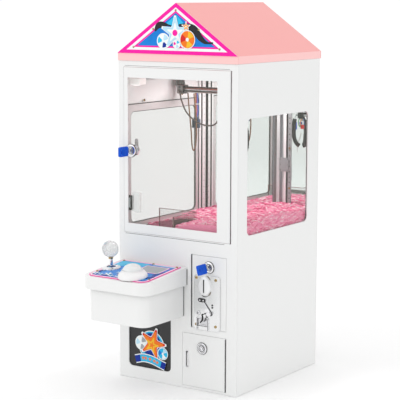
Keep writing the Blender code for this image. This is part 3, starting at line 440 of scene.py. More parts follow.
def add_turned(shape, profile, place, sides=48, look=0, closed=False):
    """A solid turned from (radius, height) points; closed joins the profile's ends, as in a ring."""
    rings = []
    for radius, height in profile:
        if radius < 1e-6:
            rings.append([shape.verts.new(place @ Vector((0, 0, height)))])
            continue
        ring = []
        for side in range(sides):
            angle = 2 * pi * side / sides
            ring.append(shape.verts.new(place @ Vector((radius * cos(angle), radius * sin(angle), height))))
        rings.append(ring)
    pairs = list(zip(rings, rings[1:])) + ([(rings[-1], rings[0])] if closed else [])
    for low, high in pairs:
        for side in range(sides):
            after = (side + 1) % sides
            lower = [low[side % len(low)], low[after % len(low)]]
            upper = [high[after % len(high)], high[side % len(high)]]
            shape.faces.new(list(dict.fromkeys(lower + upper))).material_index = look
    if not closed:
        for ring in (rings[0], rings[-1]):
            if len(ring) > 1:
                shape.faces.new(ring).material_index = look


def add_band(shape, radii, levels, place, sides, look=0):
    """A flat-sided ring between two radii and two levels."""
    (inner, outer), (low, high) = radii, levels
    add_turned(shape, [(inner, low), (outer, low), (outer, high), (inner, high)], place, sides, look, closed=True)


def heading(points, index):
    """The direction of travel at one of the points."""
    ahead = points[min(index + 1, len(points) - 1)] - points[max(index - 1, 0)]
    return ahead.normalized()


def add_skin(shape, rings, look):
    """The faces of a bar through equal rings of vertices, with both ends closed."""
    for low, high in zip(rings, rings[1:]):
        for here in range(len(low)):
            there = (here + 1) % len(low)
            shape.faces.new([low[here], low[there], high[there], high[here]]).material_index = look
    shape.faces.new(rings[0][::-1]).material_index = look
    shape.faces.new(rings[-1]).material_index = look


def add_tube(shape, points, radius, sides=10, look=0, taper=None):
    """A closed tube along points; taper(share) scales its radius."""
    turned_along = Vector((0, 0, 1))
    rings = []
    for index, point in enumerate(points):
        ahead = heading(points, index)
        side = ahead.cross(turned_along)
        if side.length < 0.2:
            side = ahead.cross(Vector((1, 0, 0)))
        side.normalize()
        turned_along = side.cross(ahead)
        size = radius * (taper(index / (len(points) - 1)) if taper else 1.0)
        angles = [2 * pi * step / sides for step in range(sides)]
        rings.append([shape.verts.new(point + size * (cos(a) * side + sin(a) * turned_along)) for a in angles])
    add_skin(shape, rings, look)


def rounded(low_a, high_a, low_u, high_u, radius, steps=6, round_corners=(0, 1, 2, 3)):
    """A rectangle's outline with arcs at its corners, counted from the lower left, anticlockwise."""
    middles = [
        (low_a + radius, low_u + radius), (high_a - radius, low_u + radius),
        (high_a - radius, high_u - radius), (low_a + radius, high_u - radius),
    ]
    sharp = [(low_a, low_u), (high_a, low_u), (high_a, high_u), (low_a, high_u)]
    points = []
    for corner, (a, u) in enumerate(middles):
        start = pi + corner * pi / 2
        for step in range(steps + 1):
            if corner in round_corners:
                angle = start + step * pi / 2 / steps
                points.append((a + radius * cos(angle), u + radius * sin(angle)))
            elif step == 0:
                points.append(sharp[corner])
    return points


def pill(x, z, half_x, half_z, radius, steps):
    """A rounded rectangle's outline about its middle."""
    return rounded(x - half_x, x + half_x, z - half_z, z + half_z, radius, steps)


def ellipse(centre, radius, sides=32, stretch=1.0):
    return [
        (centre[0] + radius * cos(2 * pi * s / sides), centre[1] + stretch * radius * sin(2 * pi * s / sides))
        for s in range(sides)
    ]


def star(centre, radius, points=5, depth=0.45, turn=pi / 2):
    """A star with blunted tips."""
    outline = []
    for index in range(points * 2):
        angle = turn + pi * index / points
        reach = radius if index % 2 == 0 else radius * depth
        spread = 0.07 if index % 2 == 0 else 0.12
        for side in (-spread, spread):
            outline.append((centre[0] + reach * cos(angle + side), centre[1] + reach * sin(angle + side)))
    return outline


def ribbon(line, width):
    """The outline of a band of changing width along (across, up) points."""
    left, right = [], []
    for index, (a, u) in enumerate(line):
        before, after = line[max(index - 1, 0)], line[min(index + 1, len(line) - 1)]
        run, rise = after[0] - before[0], after[1] - before[1]
        size = hypot(run, rise)
        half = width(index / (len(line) - 1)) / 2
        left.append((a - half * rise / size, u + half * run / size))
        right.append((a + half * rise / size, u - half * run / size))
    return left + right[::-1]


def smooth_route(route, steps):
    """Points on a Catmull-Rom curve through the route's own points."""
    route = [Vector(point) for point in route]
    ends = [2 * route[0] - route[1], *route, 2 * route[-1] - route[-2]]
    points = []
    for before, start, end, after in zip(ends, ends[1:], ends[2:], ends[3:]):
        for step in range(steps):
            t = step / steps
            points.append(
                0.5 * (2 * start + (end - before) * t + (2 * before - 5 * start + 4 * end - after) * t * t
                       + (3 * start - before - 3 * end + after) * t ** 3)
            )
    return points + [route[-1]]


def flat_route(route, steps):
    """The same curve through flat (across, up) points."""
    return [(p.x, p.y) for p in smooth_route([(a, u, 0) for a, u in route], steps)]


def arc(centre, radius, start, end, steps):
    """Points of (radius, height) round a centre, from one angle in degrees to another."""
    points = []
    for step in range(steps + 1):
        angle = radians(start + (end - start) * step / steps)
        points.append((centre[0] + radius * cos(angle), centre[1] + radius * sin(angle)))
    return points


def add_screw(shape, place, radius, look=0, dark=1):
    """A pan-head screw standing on the frame's plane; its cross recess is painted shade, two dark bars on the head.
    """
    dome = [(0, -1.5), (radius * 0.6, -1.5), (radius * 0.6, 0.05), (radius, 0.05), (radius, radius * 0.22)]
    for step in range(1, 5):
        angle = step * pi / 2 / 4
        dome.append((radius * cos(angle), radius * (0.22 + 0.4 * sin(angle))))
    dome[-1] = (0, radius * 0.62)
    add_turned(shape, dome, place, 20, look)
    for turn in (0, pi / 2):
        bar = place @ Matrix.Rotation(turn + 0.4, 4, "Z")
        add_box(shape, (-radius * 0.55, radius * 0.55), (-radius * 0.11, radius * 0.11),
                (radius * 0.3, radius * 0.64), bar, dark)


def screws(name, body, places, radius, look):
    """Several equal screws as one piece."""
    def make(shape):
        for place in places:
            add_screw(shape, place, radius)
    piece(name, body, [look, DARK], make)


# Printed panels -------------------------------------------------------------------------------------------

INKS = [
    material(f"ink_{name}", colour, 0.3, specular=0.2, mottle=(0.02, share), rough_grain=(0.01, 0.2))
    for name, colour, share in (
        ("hot_pink", (0.92, 0.010, 0.36), 0.05), ("white", (0.86, 0.90, 0.90), 0.05),
        ("blue", (0.006, 0.215, 0.68), 0.30), ("cyan", (0.03, 0.50, 0.80), 0.2),
        ("pale_blue", (0.50, 0.76, 0.90), 0.2), ("black", (0.022, 0.022, 0.026), 0.05),
        ("orange", (0.90, 0.20, 0.015), 0.15), ("red", (0.68, 0.02, 0.02), 0.15),
        ("yellow", (0.90, 0.52, 0.03), 0.15), ("navy", (0.006, 0.03, 0.30), 0.1),
        ("grey", (0.36, 0.38, 0.40), 0.1),
    )
]
(PINK_INK, WHITE_INK, BLUE_INK, CYAN_INK, PALE_INK, BLACK_INK, ORANGE_INK, RED_INK, YELLOW_INK, NAVY_INK,
 GREY_INK) = range(len(INKS))
FILM = 0.10          # thickness of one printed layer
LAYER = FILM + 0.03  # the film and the air above it


class Picture:
    """Thin layers of coloured film, each laid on the ones before."""

    def __init__(self, shape, place):
        self.shape, self.place, self.level = shape, place, 0.02

    def lay(self, outline, look, rise=True):
        add_prism(self.shape, outline, self.place, self.level, self.level + FILM, look)
        if rise:
            self.level += LAYER

    def lay_ring(self, outer, inner, look):
        add_ring(self.shape, outer, inner, self.place, self.level, self.level + FILM, look)

    def sticker(self, outline, halo, look):
        """A coloured shape on its white halo."""
        self.lay(halo, WHITE_INK)
        self.lay(outline, look)

    def toy_ball(self, centre, radius, looks):
        """A striped play ball."""
        self.sticker(ellipse(centre, radius), ellipse(centre, radius + 1.6), looks[0])
        for look, start in zip(looks[1:], (0.35, 2.45, 4.55)):
            wedge = [centre]
            for step in range(7):
                angle = start + step * 1.05 / 6
                wedge.append((centre[0] + radius * 0.93 * cos(angle), centre[1] + radius * 0.93 * sin(angle)))
            self.lay(wedge, look, rise=False)
        self.level += LAYER
        self.lay(ellipse(centre, radius * 0.22, 16), WHITE_INK)

    def toy_star(self, centre, radius, looks, turn=pi / 2):
        self.sticker(star(centre, radius, turn=turn), star(centre, radius + 3.4, turn=turn), looks[0])
        self.lay(star(centre, radius * 0.62, turn=turn), looks[1])
        self.lay(ellipse(centre, radius * 0.20, 16), looks[2])


def gable_triangle(low, high, inset):
    """The gable panel's triangle, drawn in from every side."""
    half, rise = high.x, high.z - low.z
    slope = hypot(half, rise)
    base = low.z + inset
    peak = high.z - inset * slope / half
    foot = half * (peak - base) / rise
    return [(-foot, base), (foot, base), (0.0, peak)]


def gable_print():
    low, high = span("gable_graphic_panel")

    def make(shape):
        picture = Picture(shape, facing(0, low.y, 0, "-Y"))
        picture.lay_ring(gable_triangle(low, high, 7.6), gable_triangle(low, high, 13.2), WHITE_INK)
        picture.lay(gable_triangle(low, high, 16.6), BLUE_INK)
        base = low.z
        # A pale sky towards the peak, and two dark swirls behind the toys.
        picture.lay([(-25, base + 62), (-8, base + 57), (12, base + 58), (24, base + 60), (1, base + 81)],
                    CYAN_INK)
        left = ((-52, 47), (-44, 58), (-30, 61), (-11, 58))
        right = ((8, 60), (28, 58), (46, 52), (60, 36), (74, 26), (92, 25))
        for line, wide in ((left, 12.0), (right, 14.0)):
            route = flat_route([(a, base + u) for a, u in line], 5)
            band = ribbon(route, lambda t, wide=wide: wide * (0.35 + sin(pi * min(t * 1.15, 1.0))) * 0.8)
            picture.lay(band, BLACK_INK, rise=False)
        picture.level += LAYER
        picture.toy_ball((-31, base + 27), 14.5, (WHITE_INK, PALE_INK, CYAN_INK, NAVY_INK))
        picture.toy_star((-1, base + 44), 32.0, (PALE_INK, WHITE_INK, PINK_INK))
        picture.toy_ball((30, base + 31), 17.5, (ORANGE_INK, YELLOW_INK, RED_INK, YELLOW_INK))
        picture.toy_star((27, base + 57), 8.0, (ORANGE_INK, YELLOW_INK, WHITE_INK))
        picture.toy_ball((4, base + 21.5), 8.0, (WHITE_INK, CYAN_INK, PINK_INK, PALE_INK))
    piece("gable_print", "cabinet", INKS, make)

    band = gable_triangle(low, high, 11.5)
    foot, peak = band[1], band[2]
    spots = [(0, peak[1] - 1)]
    for side in (-1, 1):
        spots.append((side * foot[0] * 0.5, (foot[1] + peak[1]) / 2))
        spots.append((side * (foot[0] - 6), foot[1] + 1.5))
    places = [facing(a, low.y, u, "-Y") for a, u in spots]
    screws("gable_screws", "cabinet", places, 2.3, BRASS)


def flap_print():
    """A sticker in the middle of the prize flap: a star between two balls, over a banner of small stars."""
    face = span("prize_flap")[0].y

    def make(shape):
        picture = Picture(shape, facing(0, face, 0, "-Y"))
        for height, radius, look in ((76, 34.0, WHITE_INK), (76, 32.0, CYAN_INK), (79, 26.0, NAVY_INK)):
            picture.lay(ellipse((-67, height), radius, 40), look)
        picture.toy_ball((-94, 80), 14.5, (WHITE_INK, GREY_INK, PALE_INK, GREY_INK))
        picture.toy_ball((-37, 64), 12.0, (CYAN_INK, PALE_INK, BLUE_INK, WHITE_INK))
        for centre, radius, look in (((-63, 83), 36.0, WHITE_INK), ((-63, 83), 32.0, RED_INK),
                                     ((-63.5, 82.5), 28.0, ORANGE_INK), ((-65, 79), 17.5, YELLOW_INK),
                                     ((-65, 79), 8.0, ORANGE_INK)):
            picture.lay(star(centre, radius, turn=pi / 2 - 0.3), look)
        line = flat_route(((-108, 43), (-88, 48), (-66, 47), (-44, 41), (-30, 37)), 6)
        middle = [point for point in line if -98 < point[0] < -40]
        for route, wide, look in ((line, 19.0, WHITE_INK), (line, 15.0, NAVY_INK), (middle, 14.0, CYAN_INK)):
            picture.lay(ribbon(route, lambda t, wide=wide: wide), look)
        for share in (0.14, 0.32, 0.5, 0.68, 0.86):
            spot = middle[int(share * (len(middle) - 1))]
            picture.lay(star(spot, 4.6), ORANGE_INK, rise=False)
    piece("prize_flap_print", "prize_flap", INKS, make)


# Console --------------------------------------------------------------------------------------------------

PANEL_TILT = radians(5.15)


def panel_place(x=0.0, y=None, above=0.0):
    """A frame on the console lid's sloping top: along it, up it, and out of it."""
    back = span("console_lid")[1]
    y = back.y if y is None else y
    z = back.z + (y - back.y) * sin(PANEL_TILT) / cos(PANEL_TILT)
    tilt = Matrix.Rotation(PANEL_TILT, 4, "X")
    return Matrix.Translation((x, y, z)) @ tilt @ Matrix.Translation((0, 0, above))


def console_outline(low, high, inset, radius, back=0.0):
    """Seen from above, with round corners at the front only."""
    return rounded(low.x + inset, high.x - inset, low.y + inset, high.y - back, radius, 12, (0, 1))


def console_shells():
    """The console's box and its lid with the sloping top, both hollow, and painted shadow: dark lines under the lid's
    edge and along the right rear edges.
    """
    low, high = span("console_box")
    upright = facing(0, 0, 0, "+Z")

    def box(shape):
        add_prism(shape, console_outline(low, high, 0, 20), upright, low.z, high.z)

    def box_room(shape):
        add_prism(shape, console_outline(low, high, 2, 18, 2), upright, low.z + 2, high.z + 5)
    piece("console_box_shell", "cabinet", WHITE, box, ["console_box"], 0.9, 3,
          cutters=[box_room])

    lid_low, lid_high = span("console_lid")
    over = lid_high.z + 20

    def lid(shape):
        add_prism(shape, console_outline(lid_low, lid_high, 0, 25), upright, lid_low.z, over)

    def above(shape):
        add_box(shape, (-400, 400), (-400, 60), (0, 80), panel_place())

    def hollow(shape):
        """The room inside the lid, which ends 2 mm below the sloping top."""
        part = bmesh.new()
        add_prism(part, console_outline(lid_low, lid_high, 3, 22, 3), upright, lid_low.z - 1, over + 1)
        cut = bmesh.ops.bisect_plane(
            part, geom=part.verts[:] + part.edges[:] + part.faces[:], clear_outer=True,
            plane_co=panel_place(above=-2.0).translation, plane_no=panel_place().to_3x3() @ Vector((0, 0, 1)),
        )
        edges = [e for e in cut["geom_cut"] if isinstance(e, bmesh.types.BMEdge)]
        bmesh.ops.contextual_create(part, geom=edges)
        mesh = bpy.data.meshes.new("hollow")
        part.to_mesh(mesh)
        part.free()
        shape.from_mesh(mesh)
        bpy.data.meshes.remove(mesh)

    def holes(shape):
        for (x, y), radius in ((STICK, 12.0), (BUTTON, 13.0)):
            add_turned(shape, [(radius, -12), (radius, 12)], panel_place(x, y))
    piece("console_lid_shell", "cabinet", WHITE, lid, ["console_lid"], 1.6, 3,
          cutters=[above, hollow, holes])

    # Painted shadow: dark lines where the lid meets the box, and where the console meets the front panel.
    def seam_shadows(shape):
        outer = console_outline(low, high, -0.5, 20.5)
        inner = console_outline(low, high, 0.1, 19.9)
        add_ring(shape, outer, inner, upright, lid_low.z - 1.0, lid_low.z + 0.4)
        for corner, wide, levels in ((high, 1.2, (low.z + 2, lid_low.z - 1.5)),
                                     (lid_high, 1.4, (lid_low.z + 2, lid_high.z - 4))):
            add_box(shape, (corner.x, corner.x + wide), (corner.y - 0.6, corner.y), levels)
    piece("console_seam_painted_shadows", "cabinet", PAINTED_SHADOW_GREY, seam_shadows)


def middle_of(node):
    low, high = span(node)
    return (low + high) / 2


STICK = (middle_of("joystick_housing").x, -240.0)
BUTTON = (middle_of("button_bezel").x, -278.0)


# Each blot is its middle, its half width and half height, its turn and its ink.
CONSOLE_BLOTS = (
    (-122, -226, 9, 15, 0.4, NAVY_INK), (-125, -268, 6, 14, 0.0, NAVY_INK), (-96, -291, 16, 4, 0.1, NAVY_INK),
    (-60, -252, 5, 12, -0.3, NAVY_INK), (-34, -293, 12, 4, 0.0, CYAN_INK), (8, -290, 9, 6, 0.0, CYAN_INK),
)
# Each star is its middle, its size and its ink.
CONSOLE_STARS = (
    (-121, -285, 8.5, WHITE_INK), (-105, -289, 6.0, PALE_INK), (-91, -281, 9.0, WHITE_INK),
    (-78, -290, 6.5, PALE_INK), (-66, -272, 7.5, ORANGE_INK), (-120, -258, 6.0, WHITE_INK),
    (-62, -289, 6.0, WHITE_INK), (-84, -222, 6.0, WHITE_INK), (-76, -262, 6.0, PALE_INK),
    (-120, -240, 5.0, PALE_INK),
)


def console_print():
    """The panel's print: a rim, a sky, a framed plain field, a swirl, blots and stars."""
    low, high = span("console_graphic_panel")
    place = panel_place(above=1.3)
    origin = place.translation

    def on_print(outline):
        return [(x, (y - origin.y) / cos(PANEL_TILT)) for x, y in outline]

    def edge(inset, radius):
        return on_print(console_outline(low, high, inset, radius, inset))

    def make(shape):
        picture = Picture(shape, place)
        picture.lay_ring(edge(2.0, 14.0), edge(5.0, 11.0), WHITE_INK)
        picture.lay(edge(7.0, 9.0), BLUE_INK)
        sky = ((-127, -181), (-128, -215), (-112, -222), (-86, -206), (-58, -204), (-56, -181))
        picture.lay(on_print(sky), CYAN_INK)
        picture.lay(on_print(((-48, -181), (-46, -186), (11, -187), (11, -181))), PALE_INK)
        picture.lay(on_print(rounded(-56, 4, -240, -192, 4, 4)), PINK_INK)
        picture.lay(on_print(rounded(-54.6, 2.6, -238.6, -193.4, 3, 4)), WHITE_INK)
        picture.lay(on_print(rounded(-52.5, 0.5, -236.5, -195.5, 2.5, 4)), GREY_INK)
        swirl = on_print(flat_route(((12, -222), (2, -246), (8, -262), (-1, -274)), 5))
        picture.lay(ribbon(swirl, lambda t: 5.0 * (0.4 + sin(pi * t))), NAVY_INK)
        for x, y, wide, tall, turn, look in CONSOLE_BLOTS:
            blot = [(x + a * cos(turn) - b * sin(turn), y + a * sin(turn) + b * cos(turn))
                    for a, b in ellipse((0, 0), wide, 18, tall / wide)]
            inside = [p for p in blot if low.x + 9 < p[0] < high.x - 9 and low.y + 9 < p[1]]
            picture.lay(on_print(inside), look)
            picture.level -= LAYER
        picture.level += LAYER
        for x, y, size, look in CONSOLE_STARS:
            spot = on_print([(x, y)])[0]
            picture.lay(star(spot, size + 1.2), WHITE_INK)
            picture.lay(star(spot, size), look)
            picture.lay(ellipse(spot, size * 0.3, 12), CYAN_INK)
            picture.level -= 3 * LAYER
    piece("console_print", "cabinet", INKS, make)
    spots = ((-50, -178.6), (12, -181), (12, -279), (-128, -270), (-126, -181), (-20, -298))
    screws("console_screws", "cabinet", [panel_place(x, y, 1.3) for x, y in spots], 3.0, BRASS)


def joystick():
    place = panel_place(*STICK)

    def ring(shape):
        profile = [(9.6, -20), (11.4, -20), (11.4, 1.5), (19.4, 1.5), *arc((18.2, 2.7), 1.2, -30, 80, 4)]
        profile += [(14.0, 5.2), (10.4, 5.6), (9.8, 5.0)]
        add_turned(shape, profile, place, 64, closed=True)
    piece("joystick_ring", "cabinet", CHROME, ring, ["joystick_housing"])

    def under(shape):
        profile = [(12.2, -30), (21.0, -30), (21.0, -3), (11.8, -3), (11.8, -5), (18.5, -6), (18.5, -28)]
        add_turned(shape, [*profile, (12.2, -28)], place, 48, closed=True)
        for turn in range(4):
            lug = place @ Matrix.Rotation(turn * pi / 2 + pi / 4, 4, "Z")
            add_box(shape, (19.5, 24), (-3, 3), (-24, -8), lug)
    piece("joystick_base", "cabinet", BLACK, under, bevel=0.4)

    def stick(shape):
        pivot = arc((0, -9), 6.5, -34, 40, 8)
        profile = [(0, -26), (3.4, -26), (3.4, -12.5), *pivot, (3.6, -4.6), (3.6, 22), (0, 22.0)]
        add_turned(shape, profile, place, 40)
        add_turned(shape, [(0, -25.9), (4.8, -25.6), (4.8, -24.0), (3.3, -24.0), (0, -24.0)], place, 6)
    piece("joystick_stick", "joystick", CHROME, stick, ["joystick_shaft"])

    def collar(shape):
        profile = [(0, 22.2), (5.2, 22.2), (5.6, 22.8), (5.6, 25.2), (4.8, 26.0), (0, 26.0)]
        add_turned(shape, profile, place, 6)
    piece("joystick_nut", "joystick", BRASS, collar, bevel=0.25)

    def ball(shape):
        radius, height = 17.5, 43
        outline = arc((0, height), radius, -84, 84, 42)
        add_turned(shape, [(0, height - radius), *outline, (0, height + radius)], place, 72)
    piece("joystick_ball_clear", "joystick", CLEAR_BALL, ball, ["joystick_ball"])

    def socket(shape):
        add_turned(shape, [(0, 26.2), (3.4, 26.2), (3.2, 30.0), (2.2, 31.0), (0, 31.2)], place, 32)
    piece("joystick_ball_insert", "joystick", FROSTED, socket, bevel=0.2)


def push_button():
    place = panel_place(*BUTTON)

    def bezel(shape):
        profile = [(7.2, -24), (12.3, -24), (12.3, 1.5), (30.2, 1.5), *arc((29.7, 3.1), 1.3, -40, 20, 3)]
        profile += [(30.9 * cos(radians(a)), 3.4 + 17.4 * sin(radians(a))) for a in range(6, 48, 5)]
        profile += [*arc((21.2, 17.2), 1.1, 50, 170, 5), (20.0, 12.6), (7.2, 12.4)]
        add_turned(shape, profile, place, 96, closed=True)
    piece("button_ring", "cabinet", WHITE_PLASTIC, bezel, ["button_bezel"], smooth=50)

    def cap(shape):
        profile = [(0, -7), (5.6, -7), (5.6, 16.3), (19.3, 16.3), (19.6, 16.8), (19.6, 17.6)]
        profile += [(19.6 * cos(radians(a)), 17.4 + 12.5 * sin(radians(a))) for a in range(8, 90, 6)]
        add_turned(shape, [*profile, (0, 29.9)], place, 96)
    piece("button_dome", "push_button", CAP, cap, ["button_cap"], smooth=50)

    def glow(shape):
        add_ring(shape, ellipse((0, 0), 19.85, 64), ellipse((0, 0), 19.2, 64), place, 17.0, 17.5)
    piece("button_tint", "push_button", CAP_LINE, glow)

    def switch(shape):
        add_band(shape, (14, 17.4), (-9, -3), place, 6)
        add_box(shape, (-5, 5), (-10, 10), (-40, -25), place)
        for tag in ((-9, -6), (6, 9)):
            add_box(shape, (-1, 1), tag, (-45, -40), place, 1)
    piece("button_switch", "cabinet", [BLACK, BRASS], switch, bevel=0.3)


# Locks and keys -------------------------------------------------------------------------------------------

COIN_KEY_TURN = radians(-14)


def lock(prefix, ring_radius, tubular=False, key_turn=0.0):
    """A cam lock: a chrome ring with its nut and painted shadow lines round it in the door, and a plug with its
    keyhole and cam. A tubular lock's keyhole is a ring with a notch."""
    door_body, lock_body = f"{prefix}_door", f"{prefix}_lock"
    centre = middle_of(f"{prefix}_lock_housing")
    low, high = span(f"{prefix}_lock_cylinder")
    face = span(f"{prefix}_lock_housing")[0].y
    place = facing(centre.x, face, centre.z, "-Y")
    depth = high.y - face

    def ring(shape):
        profile = [(6.3, -depth + 3), (8.9, -depth + 3), (8.9, -3.0), (ring_radius - 0.2, -3.0 + 0.3)]
        profile += arc((ring_radius - 1.6, -1.4), 1.6, -30, 85, 7)
        profile += [(8.6, 0.9), (7.4, 0.5), (6.3, -0.6)]
        add_turned(shape, profile, place, 64, closed=True)
        for level in range(-5, -13, -1):
            thread = [(8.85, level), (9.3, level - 0.5), (8.85, level - 1), (8.4, level - 0.5)]
            add_turned(shape, thread, place, 32, closed=True)
    piece(f"{prefix}_lock_ring", door_body, CHROME, ring, [f"{prefix}_lock_housing"])

    # Painted shadow: dark rings in the gap between ring and plug, and round the ring's rim on the door.
    def painted_shadow_lines(shape):
        add_turned(shape, [(8.7, 0.75), (9.5, 0.7), (9.5, 1.0), (8.7, 1.05)], place, 48, closed=True)
        add_band(shape, (6.0, 6.6), (0.1, 0.6), place, 40)
        outside = [(ring_radius + out, up) for out, up in ((0.1, -3.0), (1.0, -3.0), (0.9, -2.0), (0.1, -1.6))]
        add_turned(shape, outside, place, 64, closed=True)
    piece(f"{prefix}_lock_lines", door_body, STRIKE_AND_PAINTED_SHADOW, painted_shadow_lines)

    def nut(shape):
        add_band(shape, (9.5, 12.2), (-depth + 4, -depth + 7), place, 6)
    piece(f"{prefix}_lock_nut", door_body, CHROME, nut, bevel=0.4)

    def plug(shape):
        profile = [(0, -depth), (5.7, -depth), (5.9, -1.0), *arc((5.1, -0.4), 0.8, -20, 80, 4), (0, 0.35)]
        add_turned(shape, profile, place, 48)

    def groove(shape):
        add_band(shape, (2.6, 3.9), (-4, 2), place, 32)

    def notch(shape):
        add_box(shape, (-0.6, 0.6), (3.4, 5.2), (-3.9, 2.1), place)

    def keyway(shape):
        add_box(shape, (-0.9, 0.9), (-4.3, 4.3), (-5, 2), place @ Matrix.Rotation(key_turn, 4, "Z"))
    piece(f"{prefix}_lock_plug", lock_body, CHROME, plug, [f"{prefix}_lock_cylinder"], 0.12, 1,
          cutters=[groove, notch] if tubular else [keyway])

    def cam(shape):
        up, left = high.z - centre.z, centre.x - low.x
        if up > 15:
            outline = rounded(-4.2, 4.2, -5.0, up, 4.0, 5)
        else:
            outline = rounded(-left, 5.0, -5.0, 5.0, 4.0, 5)
        add_prism(shape, outline, place, -depth + 0.1, -depth + 1.6)
        add_turned(shape, [(0, -depth - 1.6), (3.0, -depth - 1.6), (3.4, -depth), (0, -depth)], place, 6)
    piece(f"{prefix}_lock_cam", lock_body, CHROME, cam, bevel=0.2)


def door_key(prefix, turn=0.0):
    """A steel blade in a moulded head with a ring hole and a ribbed hollow on each side."""
    spot = middle_of(f"{prefix}_lock_housing")
    face = span("front_panel")[0].y
    reach = face - span(f"{prefix}_key")[0].y
    flat = Matrix([(0, -1, 0), (0, 0, 1), (-1, 0, 0)]).transposed().to_4x4()
    place = Matrix.Translation((spot.x, face, spot.z)) @ Matrix.Rotation(turn, 4, "Y") @ flat

    def blade(shape):
        add_box(shape, (3.6, 13.5), (-3.6, 3.9), (-0.75, 0.75), place)
        add_box(shape, (13.0, 15.4), (-4.6, 4.6), (-1.0, 1.0), place)
    piece(f"{prefix}_key_blade", f"{prefix}_lock", STEEL, blade, [f"{prefix}_key"], 0.2)

    def head(shape):
        add_prism(shape, rounded(12.6, reach, -10.4, 10.4, 3.6, 6), place, -2.5, 2.5)

    def hollows(shape):
        for low_w, high_w in ((1.9, 4.0), (-4.0, -1.9)):
            add_prism(shape, rounded(16.5, reach - 9.0, -7.6, 7.6, 2.2, 5), place, low_w, high_w)
        add_prism(shape, ellipse((reach - 4.8, 0), 2.2, 24, 1.6), place, -4, 4)
    piece(f"{prefix}_key_head", f"{prefix}_lock", BLUE_PLASTIC, head, bevel=0.7, segments=3,
          cutters=[hollows])

    def ribs(shape):
        for side in (-1, 1):
            for row in range(4):
                u = -5.1 + row * 3.4
                levels = sorted((side * 1.85, side * 2.35))
                add_prism(shape, rounded(18.0, reach - 10.5, u - 0.7, u + 0.7, 0.6, 3), place, *levels)
    piece(f"{prefix}_key_ribs", f"{prefix}_lock", BLUE_PLASTIC, ribs, bevel=0.1)


# Coin door ------------------------------------------------------------------------------------------------

